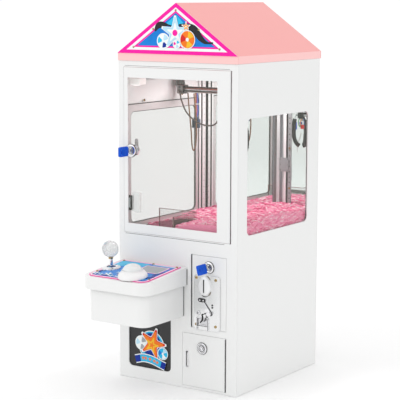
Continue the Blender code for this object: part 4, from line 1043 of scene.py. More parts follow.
def coin_mechanism():
    low, high = span("coin_acceptor_plate")
    face = high.y - 2.0
    place = facing(0, face, 0, "-Y")
    button = middle_of("coin_reject_button")
    slot_x, slot_z = button.x + 6.5, (211.0, 239.0)
    boss = (slot_x + 0.5, 225.0)
    cup_low, cup_high = span("coin_return_flap")

    def plate(shape):
        add_prism(shape, rounded(low.x, high.x, low.z, high.z, 8, 8), place, -2.0, 0.0)

    def slot(shape):
        add_box(shape, (slot_x - 1.5, slot_x + 1.5), slot_z, (-4, 8), place)

    def openings(shape):
        slot(shape)
        add_prism(shape, pill(button.x, button.z, 9.6, 4.1, 4.0, 6), place, -4, 3)
        add_box(shape, (cup_low.x - 0.8, cup_high.x + 0.8), (cup_low.z - 0.8, cup_high.z + 1.0), (-4, 3), place)
    piece("coin_plate", "coin_door", SATIN_CHROME, plate, ["coin_acceptor_plate"], 0.45, 3,
          cutters=[openings])

    # Painted shadow: dark and bronze crescents round the boss's edge.
    def boss_painted_shadows(shape):
        for start, end, wide, look in ((-60, -28, 3.0, 1), (-118, -64, 1.8, 0), (38, 74, 2.2, 1)):
            line = []
            for step in range(9):
                angle = radians(start + (end - start) * step / 8)
                line.append((boss[0] + 17.0 * cos(angle), boss[1] + 22.6 * sin(angle)))
            outline = ribbon(line, lambda t, wide=wide: wide * (0.25 + 0.75 * sin(pi * (0.06 + 0.88 * t))))
            add_prism(shape, outline, place, 0.02, 0.5, look)
    piece("coin_boss_painted_shadows", "coin_door", [STRIKE_AND_PAINTED_SHADOW, PAINTED_SHADOW_BRONZE], boss_painted_shadows)

    def boss_shape(shape):
        radius = 15.5
        dome = ((1.0, -0.3), (0.98, 1.4), (0.93, 2.8), (0.86, 3.7), (0.76, 4.2), (0.0, 4.35))
        oval = place @ Matrix.Translation((*boss, 0)) @ Matrix.Diagonal((1, 1.35, 1, 1))
        add_turned(shape, [(0, -0.3), *((radius * share, level) for share, level in dome)], oval, 64)
    piece("coin_boss", "coin_door", WHITE_METAL, boss_shape, cutters=[slot])

    # Painted shade: dark sheets on the slot's walls and floor.
    def slot_painted_shade(shape):
        for left, right, levels in ((-1.45, -1.25, (-2.0, 3.9)), (1.25, 1.45, (-2.0, 3.9)),
                                    (-1.4, 1.4, (-2.2, -1.9))):
            add_box(shape, (slot_x + left, slot_x + right), slot_z, levels, place)
    piece("coin_slot_painted_shade", "coin_door", DARK, slot_painted_shade)

    def reject(shape):
        add_prism(shape, pill(button.x, button.z, 8.9, 3.4, 3.35, 8), place, -7.0, 2.4)
    piece("reject_button", "coin_reject", BLACK, reject, ["coin_reject_button"], 0.5, 3)

    def reject_pins(shape):
        for side in (-1, 1):
            spot = place @ Matrix.Translation((button.x + side * 4.2, button.z, 2.4))
            add_turned(shape, [(0, -0.3), (1.7, -0.3), (1.7, 0.2), (1.2, 0.5), (0, 0.5)], spot, 20)
    piece("reject_button_pins", "coin_reject", CHROME, reject_pins)

    def reject_rim(shape):
        outer, inner = pill(button.x, button.z, 10.6, 5.1, 5.0, 8), pill(button.x, button.z, 9.5, 4.0, 3.9, 8)
        add_ring(shape, outer, inner, place, 0.0, 1.0)
    piece("reject_rim", "coin_door", CHROME, reject_rim, bevel=0.3)

    # The release lever: a flat arm that slants down to the right, with a painted shadow line along its upper edge.
    pivot = Matrix.Translation((button.x + 4.0, button.z - 7.0, 0))
    arm = place @ pivot @ Matrix.Rotation(atan2(-25.0, 20.5), 4, "Z")
    length = 29.0

    def lever(shape):
        add_prism(shape, rounded(-3, length, -5.2, 4.4, 3.0, 6), arm, 1.4, 3.0)
        add_prism(shape, rounded(length - 8.5, length, -5.2, 4.4, 3.0, 6), arm, 3.0, 7.0)
    piece("coin_lever", "coin_door", CHROME, lever, bevel=0.5, segments=3)

    # Painted shadow: a dark line along the arm's upper edge, ending in a dark blot near its tip.
    def lever_painted_shadow(shape):
        add_prism(shape, rounded(0, length - 2.0, 4.6, 5.3, 0.3, 3), arm, 0.02, 0.4)
        line = [(length - 1.0 + 1.6 * sin(step / 5 * pi), 4.6 - step * 1.5) for step in range(6)]
        add_prism(shape, ribbon(line, lambda t: 2.8 * sin(pi * (0.2 + 0.65 * t))), arm, 0.02, 0.4)
    piece("coin_lever_painted_shadow", "coin_door", DARK, lever_painted_shadow)

    def hook(shape):
        route = ((70.6, 166.6, 7.6), (72.6, 161.5, 8.0), (72.6, 156.6, 8.0), (70.0, 152.0, 7.6), (65.6, 148.0, 6.0))
        points = [place @ point for point in smooth_route(route, 6)]
        add_tube(shape, points, 1.7, 12, taper=lambda t: 0.75 + 0.4 * sin(pi * t))
        add_tube(shape, [place @ Vector((70.8, 165.6, level)) for level in (7.6, 2.4)], 1.4, 12)
    piece("coin_lever_hook", "coin_door", HOOK_BLACK, hook)

    def cup_frame(shape):
        bottom = low.z + 0.5
        for side, edge in ((-1, cup_low.x), (1, cup_high.x)):
            for near, far, top, levels, look in ((1.1, 3.4, 2.6, (0.0, 1.8), 0), (0.9, 2.0, 1.0, (1.6, 2.2), 1)):
                x = sorted((edge + side * near, edge + side * far))
                add_box(shape, x, (bottom, cup_high.z + top), levels, place, look)
        bar = (cup_high.z + 1.0, cup_high.z + 3.0)
        add_box(shape, (cup_low.x - 3.4, cup_high.x + 3.4), bar, (0.0, 1.8), place)
    piece("coin_cup_frame", "coin_door", [CHROME, STRIKE_AND_PAINTED_SHADOW], cup_frame, bevel=0.3)

    def flap(shape):
        add_prism(shape, rounded(cup_low.x, cup_high.x, cup_low.z, cup_high.z, 1.0, 4), place, -1.7, -0.5)
        lip = rounded(cup_low.x + 4, cup_high.x - 4, cup_low.z + 1.5, cup_low.z + 3.5, 0.9, 4)
        add_prism(shape, lip, place, -0.6, 0.4)
    piece("coin_cup_flap", "coin_return", STEEL, flap, ["coin_return_flap"], 0.2)

    corners = ((51.8, 241.0), (99.6, 240.0), (99.6, 142.0), (51.8, 142.0))
    pivot_spot = ((button.x - 8.6, button.z - 28),)
    rivets = ((button.x + 25.4, button.z - 8), (button.x + 25.4, button.z - 13))
    for name, spots, radius, look, slot_name in (
        ("coin_plate_screws", corners, 3.1, BRASS, "chrome"), ("coin_pivot_screw", pivot_spot, 5.0, CHROME, "chrome"),
        ("coin_plate_rivets", rivets, 2.1, STRIKE_AND_PAINTED_SHADOW, "zinc_sheet"),
    ):
        screws(name, "coin_door", [facing(a, face, u, "-Y") for a, u in spots], radius, look)

    body_low, body_high = span("coin_acceptor_body")
    forward = facing(0, 0, 0, "-Y")

    def body(shape):
        back = -body_high.y
        x, z = (body_low.x, body_high.x), (body_low.z, body_high.z)
        add_box(shape, x, z, (back, -body_low.y - 12.0), forward)
        for row in range(5):
            z = body_low.z + 12 + row * 16
            add_box(shape, (body_low.x + 5, body_high.x - 5), (z, z + 6), (back - 1.0, back + 0.5), forward)
    piece("coin_validator", "coin_door", BLACK, body, ["coin_acceptor_body"], 0.6)


# Cabin ----------------------------------------------------------------------------------------------------

WALL = middle_of("left_window").x            # the windows' own plane, on the left
CABIN_FLOOR = span("playfield_deck")[1].z


def service_pull():
    """A bright lip round the service door's pull slot, and a pocket behind it with a bright tab; the pocket's walls
    are painted dark as shade.
    """
    x, z = 26.8, 63.2
    place = facing(x, span("service_door_panel")[0].y, z, "-Y")

    def lip(shape):
        add_ring(shape, pill(0, 0, 4.4, 19.0, 4.3, 8), pill(0, 0, 2.9, 17.4, 2.85, 8), place, 0.0, 0.8)
    piece("service_pull_lip", "service_door", CHROME, lip, bevel=0.25)

    def pocket(shape):
        add_box(shape, (-4.5, 4.5), (-19, 19), (-9.0, -8.0), place)
        for side in (-1, 1):
            add_box(shape, sorted((side * 3.7, side * 4.5)), (-19, 19), (-8.0, -2.0), place)
        bar = ((-12, -7), (-8, -4), (0, -3), (8, -4), (12, -7))
        add_tube(shape, [place @ Vector((0, up, out)) for up, out in bar], 1.1, 10, look=1)
        add_box(shape, (-0.6, 1.9), (-15.5, 14.0), (-2.4, -1.2), place, look=1)
    piece("service_pull_painted_shade_pocket", "service_door", [DARK, POST_LIGHT], pocket)


def door_painted_shadow_gaps():
    """Painted shadow in the door gaps: thin black strips along some edges of each door."""
    def strip(name, body, corners, x, z):
        def make(shape):
            add_box(shape, x, z, (-0.9, 0.12), facing(0, corners[0].y, 0, "-Y"))
        piece(name, body, RUBBER_AND_PAINTED_SHADOW, make, bevel=0.05)
    coin = low, high = span("coin_door_panel")
    strip("coin_door_painted_shadow_gap", "coin_door", coin, (low.x, low.x + 1.3), (low.z + 2, high.z - 2))
    service = low, high = span("service_door_panel")
    strip("service_door_painted_shadow_gap", "service_door", service, (high.x - 1.2, high.x), (low.z + 2, high.z - 5))
    front = low, high = span("front_door_frame")
    for name, x, z in (("", (low.x + 3, high.x - 14), (low.z, low.z + 0.8)),
                       ("_side", (high.x - 0.7, high.x), (low.z + 2, high.z - 4)),
                       ("_top", (low.x + 3, high.x - 3), (high.z - 0.6, high.z))):
        strip(f"front_door{name}_painted_shadow_gap", "front_door", front, x, z)


def pane_edges():
    """Dark mounting tape and a grey rim round each side window's pane, a narrow rubber bead in the left wall's
    opening, and the polished edges of the chute guard."""
    for name, outward, back in (("left", "+X", -129.0), ("right", "-X", -118.7)):
        low, high = span(f"{name}_window")
        left = name == "left"
        place = facing(high.x if left else low.x, 0, 0, outward)
        start, end = (low.y, high.y) if left else (-high.y, -low.y)

        def tape(shape, place=place, start=start, end=end, low=low, high=high):
            outer = rounded(start + 0.5, end - 0.5, low.z + 0.5, high.z - 0.5, 5, 4)
            inner = rounded(start + 2.6, end - 2.6, low.z + 2.6, high.z - 2.2, 4, 4)
            add_ring(shape, outer, inner, place, 0.0, 0.5)
        piece(f"{name}_window_tape", "cabinet", TAPE, tape)

        def rim(shape, place=place, start=start, end=end, low=low, high=high, back=back):
            outer = rounded(start + 2.8, end - 2.8, low.z + 2.8, high.z - 2.4, 4, 8)
            inner = rounded(back, back + 247.7, 331.0, 573.0, 12.4, 8)
            add_ring(shape, outer, inner, place, 0.0, 0.4)
        piece(f"{name}_window_rim", "cabinet", RIM_GREY, rim)

        if left:
            def bead(shape, depth=(span("left_wall")[0].x + 0.4, high.x - 0.4)):
                outer = rounded(-128.4, 118.1, 331.6, 572.4, 11.8, 8)
                inner = rounded(-127.6, 117.3, 332.4, 571.6, 11.0, 8)
                add_ring(shape, outer, inner, facing(0, 0, 0, outward), *depth)
            piece("left_window_bead", "cabinet", TAPE, bead)

    low, high = span("chute_guard")

    def guard(shape):
        top = (high.z - 0.9, high.z + 0.2)
        upright = (low.z, high.z)
        for x, y, z in (((-17.9, -15.0), (-154, -67), top), ((-114, -15.0), (-69.7, -66.8), top),
                        ((-17.9, -15.0), (-154.2, -153.2), upright), ((-114.2, -113.2), (-69.7, -66.8), upright)):
            add_box(shape, x, y, z)
    piece("chute_guard_edges", "cabinet", GUARD_EDGE, guard, bevel=0.1)


def corner_posts():
    """Polished posts with black lines in the front left and both rear corners, and the mirror's joint strip."""
    low, high = CABIN_FLOOR + 10, 636.0
    inner = -WALL - 1.8

    def front_post(shape):
        place = facing(-inner - 1.0, -162.0, 0, "+Z")
        for start, end, look in ((0, 2.6, 0), (2.6, 4.0, 1), (4.0, 6.2, 2), (6.2, 8.2, 0), (8.2, 9.4, 1),
                                 (9.4, 11.2, 2)):
            depth = 1.0 if look == 1 else 2.2
            add_box(shape, (0, depth), (start, end), (low, high), place, look)
            add_box(shape, (start, end), (0, depth), (low, high), place, look)
    piece("post_front_left", "cabinet", [POST, DARK, POST_LIGHT], front_post, bevel=0.2)

    for name, side in (("post_back_left", -1), ("post_back_right", 1)):
        def broad_post(shape, side=side):
            place = facing(side * inner, 159.6, 0, "+Z")
            for start, end, depth, look in ((0, 3.2, 3.2, 1), (3.2, 16.0, 1.2, 0), (16.0, 22.0, 0.8, 1),
                                            (22.0, 29.0, 1.2, 0)):
                add_box(shape, sorted((0, -side * depth)), (-end, -start), (low, high), place, look)
            for row in range(22):
                dot = place @ Matrix.Translation((-side * 1.2, -9.5, low + 12 + row * 14.0))
                dot = dot @ Matrix.Rotation(-side * pi / 2, 4, "Y")
                add_turned(shape, [(0, -0.2), (0.9, -0.2), (0.9, 0.15), (0, 0.2)], dot, 10, 1)
        piece(name, "cabinet", [POST_LIGHT, DARK], broad_post, bevel=0.2)

    place = facing(0, span("back_mirror")[0].y, 0, "-Y")

    def strip(shape):
        bottom = low + 2
        for start, end, depth, look in ((36.0, 40.0, 0.5, 3), (40.0, 46.0, 0.6, 4), (46.0, 54.0, 0.4, 1),
                                        (54.2, 62.0, 0.5, 3), (62.0, 66.0, 0.5, 1), (66.0, 71.0, 1.4, 2),
                                        (71.2, 75.4, 0.6, 0), (75.6, 84.5, 1.0, 5)):
            add_box(shape, (start, end), (bottom, 633.0), (0.0, depth), place, look)
        for row in range(26):
            dot = place @ Matrix.Translation((80.0, bottom + 8 + row * 12.0, 1.0))
            add_turned(shape, [(0, -0.2), (1.3, -0.2), (1.3, 0.12), (0, 0.12)], dot, 12, 0)
    looks = [DARK, STRIP, POST_LIGHT, GREY_STEEL, BLOCK_GREY, PLATE_GREY]
    piece("mirror_joint_strip", "cabinet", looks, strip, bevel=0.15)

    def plate(shape):
        add_prism(shape, rounded(54.5, 78.5, 430.0, 461.0, 2.0, 4), place, 1.0, 3.2)
        for x in (57.5, 75.5):
            for z in (433.5, 445.5, 457.5):
                dot = place @ Matrix.Translation((x, z, 3.1))
                add_turned(shape, [(0, -0.2), (1.1, -0.2), (1.1, 0.3), (0, 0.35)], dot, 14, 1)
    piece("mirror_joint_plate", "cabinet", [PLATE_GREY, DARK], plate, bevel=0.3)
    face = span("back_mirror")[0].y - 1.0
    spots = [facing(80.0, face, z, "-Y") for z in (393.0, 483.0, 573.0)]
    screws("mirror_joint_screws", "cabinet", spots, 2.6, BRASS)


def catch():
    """The magnetic catch on the glass door's pane: a polished strike and a pale translucent housing."""
    low, high = span("magnetic_catch")
    back = facing(0, high.y, 0, "-Y")

    def housing(shape):
        outline = rounded(low.x + 14.4, high.x, low.z, high.z, 2.5, 6)
        add_prism(shape, outline, back, 0.0, high.y - low.y)
    piece("catch_housing", "front_door", CATCH_WHITE, housing, ["magnetic_catch"], 0.8, 3)

    def strike(shape):
        middle = (low.x + low.x + 13.6) / 2
        add_prism(shape, rounded(low.x + 1.0, low.x + 13.6, low.z + 4, high.z - 8, 2.0, 4), back, 0.0, 6.9)
        add_prism(shape, rounded(middle - 2.4, middle + 2.4, low.z + 6, high.z - 10, 2.0, 4), back, 6.7, 7.4, 1)
        for z in (low.z + 7.5, high.z - 11.5):
            dot = back @ Matrix.Translation((middle, z, 7.3))
            add_turned(shape, [(0, -0.3), (2.0, -0.3), (2.0, 0.1), (1.0, 0.3), (0, 0.4)], dot, 20, 0)
    piece("catch_strike", "front_door", [STRIKE_AND_PAINTED_SHADOW, INKS[WHITE_INK]], strike, bevel=0.5)

    def gasket(shape):
        front = facing(0, low.y, 0, "+Y")
        outer = rounded(-(low.x + 14.0), -(low.x + 0.5), low.z + 3.4, high.z - 7.4, 2.2, 4)
        inner = rounded(-(low.x + 12.0), -(low.x + 2.5), low.z + 5.4, high.z - 9.4, 1.6, 4)
        add_ring(shape, outer, inner, front, -0.4, 0.5)
    piece("catch_gasket", "front_door", DARK, gasket)


def lamp():
    """The lamp under the roof, and the screws on the cabin's side walls."""
    low, high = span("led_lamp")

    def housing(shape):
        outline = rounded(low.x, high.x, low.y, high.y, 4.0, 6)
        add_prism(shape, outline, facing(0, 0, 0, "+Z"), low.z + 0.5, high.z)
    piece("lamp_housing", "cabinet", LAMP_WHITE, housing, ["led_lamp"], 1.0, 3)

    def lens(shape):
        middle = (low + high) / 2
        spot = Matrix.Translation((middle.x, middle.y, low.z - 3.0)) @ Matrix.Rotation(pi, 4, "X")
        radius = min(high.x - low.x, high.y - low.y) / 2 - 1.5
        dome = ((0, -4.5), (1, -4.5), (1, -3.0), (0.8, -1.2), (0.45, -0.2), (0, 0))
        add_turned(shape, [(radius * share, level) for share, level in dome], spot, 40)
    piece("lamp_lens", "cabinet", LAMP_LENS, lens)
    spots = [facing(x, y, z, outward) for x, outward in ((WALL + 2.0, "+X"), (-WALL - 2.0, "-X"))
             for y, z in ((-81.0, 595.0), (62.0, 601.0))]
    screws("wall_screws", "cabinet", spots, 3.0, BRASS)


# Plush filler ---------------------------------------------------------------------------------------------

def packed_bed():
    """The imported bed's own surface, in millimetres, for measuring its height."""
    bed = NODES["plush_bed"]
    places = [bed.matrix_world @ vertex.co / MM for vertex in bed.data.vertices]
    return BVHTree.FromPolygons(places, [tuple(face.vertices) for face in bed.data.polygons])


BED = packed_bed()


def bed_top(x, y):
    """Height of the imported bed's top at a place, or None beside it."""
    spot = BED.ray_cast(Vector((x, y, 600.0)), Vector((0, 0, -1)))[0]
    return spot.z if spot else None


def tumble(x, y, size, seed):
    return noise.noise(Vector((x / size, y / size, seed)))


def plush_mat():
    low, high = span("plush_bed")
    step = 5.0
    columns = int((high.x - low.x) / step)
    rows = int((high.y - low.y) / step)
    heights = {}
    for i in range(columns + 1):
        for j in range(rows + 1):
            x = low.x + 0.3 + (high.x - low.x - 0.6) * i / columns
            y = low.y + 0.3 + (high.y - low.y - 0.6) * j / rows
            top = bed_top(x, y)
            if top is not None:
                heights[i, j] = (x, y, top - 1.2 + 2.4 * tumble(x, y, 13.0, 3.0))

    def make(shape):
        cells = [(i, j) for i, j in heights
                 if all(c in heights for c in ((i + 1, j), (i, j + 1), (i + 1, j + 1)))]
        used = {(i + a, j + b) for i, j in cells for a in (0, 1) for b in (0, 1)}
        top = {c: shape.verts.new(heights[c]) for c in used}
        bottom = {c: shape.verts.new((*heights[c][:2], low.z)) for c in used}
        filled = set(cells)
        for i, j in cells:
            ring = [(i, j), (i + 1, j), (i + 1, j + 1), (i, j + 1)]
            shape.faces.new([top[c] for c in ring])
            shape.faces.new([bottom[c] for c in reversed(ring)])
            for (a, b), (di, dj) in zip(zip(ring, ring[1:] + ring[:1]), ((0, -1), (1, 0), (0, 1), (-1, 0))):
                if (i + di, j + dj) not in filled:
                    shape.faces.new([bottom[a], bottom[b], top[b], top[a]])
    mat = piece("plush_mat", "cabinet", PLUSH_TONES[1], make, ["plush_bed"], smooth=60)


def curl(shape, points, size, tone):
    """One lock of fibre, thin at its ends."""
    add_tube(shape, points, size, 4, tone, lambda t: 0.25 + 0.9 * sin(pi * (0.12 + 0.8 * t)))


PILE_SEED = 7
TOP_LOCKS = 3800
SIDE_LOCKS = 900     # tries on each side of the bed


def plush_pile():
    """Short locks of fibre that lie over the mat and against its sides, each a closed tapered curl."""
    low, high = span("plush_bed")
    chance = random.Random(PILE_SEED)

    def tone():
        return chance.choices((0, 1, 2, 3), (3, 5, 4, 2))[0]

    def make(shape):
        made = 0
        while made < TOP_LOCKS:
            x, y = chance.uniform(low.x + 3, high.x - 3), chance.uniform(low.y + 3, high.y - 3)
            top = bed_top(x, y)
            if top is None:
                continue
            made += 1
            heading = chance.gauss(0.0, 0.5) + chance.choice((0.0, pi))
            length = chance.uniform(7.0, 16.0)
            rise = chance.uniform(0.5, 3.8)
            bow = chance.gauss(0.0, 2.2)
            points = []
            for step in range(5):
                t = step / 4
                along = length * (t - 0.5)
                aside = bow * sin(pi * t)
                spot_x = min(max(x + along * cos(heading) - aside * sin(heading), low.x + 0.8), high.x - 0.8)
                spot_y = min(max(y + along * sin(heading) + aside * cos(heading), low.y + 0.8), high.y - 0.8)
                ground = bed_top(spot_x, spot_y)
                level = (ground if ground is not None else top) - 1.4
                points.append(Vector((spot_x, spot_y, level + rise * sin(pi * (0.15 + 0.75 * t)))))
            curl(shape, points, chance.uniform(0.65, 1.35), tone())
        for side_x in (low.x + 0.4, high.x - 0.4):
            for _ in range(SIDE_LOCKS):
                y = chance.uniform(low.y + 8, high.y - 8)
                top = bed_top(side_x * 0.99, y)
                if top is None:
                    continue
                z = chance.uniform(low.z + 2, top - 0.5)
                length = chance.uniform(7.0, 15.0)
                slope, bow = chance.gauss(0.0, 0.22), chance.gauss(0.0, 1.6)
                points = []
                for step in range(5):
                    t = step / 4
                    along = length * (t - 0.5)
                    up = max(z + along * slope + bow * sin(pi * t), low.z + 1.0)
                    points.append(Vector((side_x, min(max(y + along, low.y + 1), high.y - 1), up)))
                curl(shape, points, chance.uniform(0.6, 1.05), tone())
    piece("plush_pile", "cabinet", PLUSH_TONES, make, smooth=70)


# Crane ----------------------------------------------------------------------------------------------------

def gantry_beam():
    """The bridge's beam with its belt, rod and cords, its end blocks and the bracket of the wiring loom."""
    low, high = span("bridge_beam")
    across = facing(0, 0, 0, "+X")

    def profile(shape):
        outline = [(33.6, 606.4), (41.8, 606.4), (41.8, 619.8), (32.4, 619.8), (32.4, 617.6), (34.6, 616.8),
                   (34.6, 609.8), (33.0, 609.0), (32.4, 607.6)]
        add_prism(shape, outline, across, low.x + 18, high.x - 18)
    piece("beam_profile", "bridge", ALUMINIUM_X, profile, ["bridge_beam"], 0.25)

    def lines(shape):
        belt = [(32.2, 617.6), (32.9, 617.6), (32.9, 619.9), (32.2, 619.9)]
        for outline, look in ((belt, 0), (ellipse((33.2, 616.0), 0.7, 10), 1), (ellipse((33.2, 613.4), 1.3, 12), 2),
                              (ellipse((33.2, 610.6), 0.5, 8), 0)):
            add_prism(shape, outline, across, low.x + 20, high.x - 20, look)
    piece("beam_belt_and_rod", "bridge", [DARK, COPPER, CHROME], lines)

    def ends(shape):
        for side in (-1, 1):
            add_box(shape, sorted((side * 118.0, side * 133.7)), (26.0, 48.0), (603.5, 622.5))
            plate = sorted((side * 130.7, side * 133.9))
            add_prism(shape, [(20, 622), (54, 622), (50, 652), (24, 652)], across, *plate)
            for y in (25.5, 48.5):
                spot = facing(side * 134.0, y, 648.0, "+X" if side > 0 else "-X")
                add_turned(shape, [(0, -0.5), (4.4, -0.5), (4.4, 5.0), (3.6, 5.6), (0, 5.6)], spot, 28, 1)
    piece("beam_end_blocks", "bridge", [BLOCK_GREY, BLACK], ends, bevel=0.6)

    def end_details(shape):
        for side in (-1, 1):
            for y, z in ((29.5, 607.5), (44.5, 607.5), (29.5, 618.5), (44.5, 618.5)):
                spot = facing(side * 118.0, y, z, "-X" if side > 0 else "+X")
                add_turned(shape, [(0, -0.4), (1.6, -0.4), (1.6, 0.9), (0, 1.1)], spot, 16)
            for z in (607.5, 618.0):
                spot = facing(side * 125.8, 26.0, z, "-Y")
                add_turned(shape, [(0, -0.4), (1.9, -0.4), (1.9, 1.0), (0, 1.3)], spot, 6)
    piece("beam_end_bolts", "bridge", DARK, end_details)

    def bracket(shape):
        add_box(shape, (-108.0, -97.5), (41.6, 58.0), (607.0, 608.4))
        add_box(shape, (-108.0, -97.5), (41.6, 43.0), (607.0, 616.0))
    piece("loom_bracket", "bridge", ZINC, bracket, bevel=0.2)


def trolley_parts():
    low, high = span("trolley")
    middle = (low + high) / 2

    def body(shape):
        plate = rounded(low.x + 0.4, high.x - 0.4, low.y + 0.4, high.y - 0.4, 4, 5)
        add_prism(shape, plate, facing(0, 0, 0, "+Z"), 598.2, 604.8)
        for y in ((low.y + 0.6, 31.0), (43.0, high.y - 0.6)):
            add_box(shape, (low.x + 3, high.x - 3), y, (604.0, 626.0))
    piece("trolley_body", "trolley", BLACK, body, ["trolley"], 0.8, 3)

    def motor(shape):
        spot = facing(middle.x, high.y - 11.0, 626.0, "+Z")
        add_turned(shape, [(0, 0), (8.6, 0), (8.6, 20), (7.6, 21), (2.4, 21), (2.4, 23), (0, 23)], spot, 40)
        spool = facing(low.x + 4.0, 22.0, 632.0, "+X")
        profile = [(0, 0), (6.4, 0), (6.4, 1.4), (3.4, 1.6), (3.4, 9.0), (6.4, 9.2), (6.4, 10.6), (0, 10.6)]
        add_turned(shape, profile, spool, 32, 1)
        for side in (-1, 1):
            for x in (low.x + 8, high.x - 8):
                wheel = facing(x, 37 + side * 6.3, 622.5, "+Y" if side > 0 else "-Y")
                add_turned(shape, [(0, -0.4), (4.8, -0.4), (4.8, 1.4), (0, 1.6)], wheel, 24, 2)
    piece("trolley_motor", "trolley", [STEEL, WHITE_PLASTIC, ZINC], motor, bevel=0.2)


BAR_CORNERS = ((1, -0.6), (0.75, -1), (-0.75, -1), (-1, -0.6), (-1, 0.6), (-0.75, 1), (0.75, 1), (1, 0.6))


def strap(shape, line, width, thick, place, grow):
    """A bent bar with chamfered edges along (outward, up) points; grow(share) scales its width."""
    points = smooth_route([(a, 0, u) for a, u in line], 5)
    rings = []
    for index, point in enumerate(points):
        ahead = heading(points, index)
        out = Vector((ahead.z, 0, -ahead.x)) * thick / 2
        across = Vector((0, -width * grow(index / (len(points) - 1)) / 2, 0))
        rings.append([shape.verts.new(place @ (point + across * a + out * b)) for a, b in BAR_CORNERS])
    add_skin(shape, rings, 0)


PRONG_PIVOT_Z = 545.0
PRONG = ((14.0, 2.0), (17.0, -7.0), (17.9, -22.0), (18.2, -42.0), (17.0, -57.0), (12.5, -67.5), (7.0, -73.5))
SLEEVE = ((17.6, -9.0), (19.4, -20.0), (19.8, -32.0), (19.4, -46.0), (17.4, -57.5), (12.6, -66.6), (6.2, -71.6))


def claw():
    """The claw's coil housing and foot, its three sleeved prongs, and the wires that hang from it."""
    low, high = span("claw_head")
    centre = (low + high) / 2
    place = facing(centre.x, centre.y, 0, "+Z")

    def head(shape):
        profile = [(0, 579), (8.0, 579), (15.0, 578.4), (15.8, 577.4), (15.8, 574.2), (15.0, 573.6)]
        profile += [(15.0, 560.4), (15.8, 559.8), (15.8, 556.4), (14.8, 555.2), (0, 555.2)]
        add_turned(shape, profile, place, 56)
        add_turned(shape, [(0, 555.4), (9.0, 555.4), (9.0, 551.2), (0, 551.2)], place, 40)
    piece("claw_coil_housing", "claw", CHROME, head, ["claw_head"], 0.2)

    def wrap(shape):
        add_band(shape, (14.9, 15.25), (561.2, 572.8), place, 56)
    piece("claw_coil_wrap", "claw", RED_TAPE, wrap)

    def foot(shape):
        profile = [(0, 551.0), (10.0, 551.0), (11.3, 549.8), (11.3, 538.6), (9.8, 537.2), (0, 537.2)]
        add_turned(shape, profile, place, 48)
        add_turned(shape, [(0, 537.4), (4.4, 537.4), (3.4, 531.0), (0, 530.2)], place, 32, 1)
    piece("claw_foot", "claw", [BLACK, CHROME], foot, bevel=0.3)

    for index in range(3):
        turn = radians(28 + 120 * index)
        base = Matrix.Translation((centre.x, centre.y, PRONG_PIVOT_Z)) @ Matrix.Rotation(turn, 4, "Z")

        def bar(shape, base=base):
            strap(shape, PRONG, 7.0, 2.2, base, lambda t: 1.0 - 0.25 * max(t - 0.7, 0) / 0.3)
        piece(f"prong_bar_{index + 1}", f"prong_{index + 1}", CHROME, bar,
              [f"claw_prong_{index + 1}"], 0.15)

        def sleeve(shape, base=base):
            strap(shape, SLEEVE, 10.4, 9.2, base, lambda t: 1.0 - 0.42 * max(t - 0.62, 0) / 0.38)
            for row in range(9):
                here = -16.0 - row * 4.4
                add_box(shape, (15.2, 24.8), (-5.5, 5.5), (here - 0.5, here + 0.5), base)
        piece(f"prong_sleeve_{index + 1}", f"prong_{index + 1}", RUBBER_AND_PAINTED_SHADOW, sleeve, bevel=0.5)

        def pin(shape, base=base):
            spot = base @ Matrix.Translation((13.6, 0, 0.0)) @ Matrix.Rotation(pi / 2, 4, "X")
            profile = [(0, -5.6), (2.2, -5.6), (2.2, -4.6), (1.3, -4.4), (1.3, 4.4), (2.2, 4.6), (2.2, 5.6)]
            add_turned(shape, [*profile, (0, 5.6)], spot, 20)
            outer = base @ Matrix.Translation((24.2, 0, -21.0)) @ Matrix.Rotation(pi / 2, 4, "Y")
            add_turned(shape, [(0, -0.6), (2.4, -0.6), (2.4, 0.2), (1.4, 0.9), (0, 1.0)], outer, 20, 1)
        piece(f"prong_pins_{index + 1}", f"prong_{index + 1}", [STEEL, WHITE_PLASTIC], pin)

    def leads(shape):
        for number, start in enumerate((20, 80, 140, 200, 260, 320)):
            angle = radians(start)
            ring = [(5.0, 538), (7.0 + number % 3, 532), (8.5, 525 - number), (6.0, 519 - number), (5.0, 522)]
            points = [place @ Vector((r * cos(angle + 0.12 * k), r * sin(angle + 0.12 * k), z))
                      for k, (r, z) in enumerate(ring)]
            add_tube(shape, smooth_route(points, 4), 0.95, 8, number % 4)
    piece("claw_leads", "claw", [WIRE_BLUE, WIRE_ORANGE, WIRE_GREEN, BROWN_WIRE], leads)

    def plug(shape):
        spot = facing(centre.x, centre.y + 1.0, 0, "+Z")
        for look, (x, half, z) in enumerate((((-2.0, 10.6), 4.5, (513.0, 522.5)), ((-2.8, -1.8), 3.6, (514.5, 521.0)),
                                             ((-6.0, -1.0), 3.0, (523.0, 529.0)))):
            add_box(shape, x, (-half, half), z, spot, look)
    piece("claw_lead_plug", "claw", [RED_PLASTIC, BLACK, WIRE_BLUE], plug, bevel=0.5)


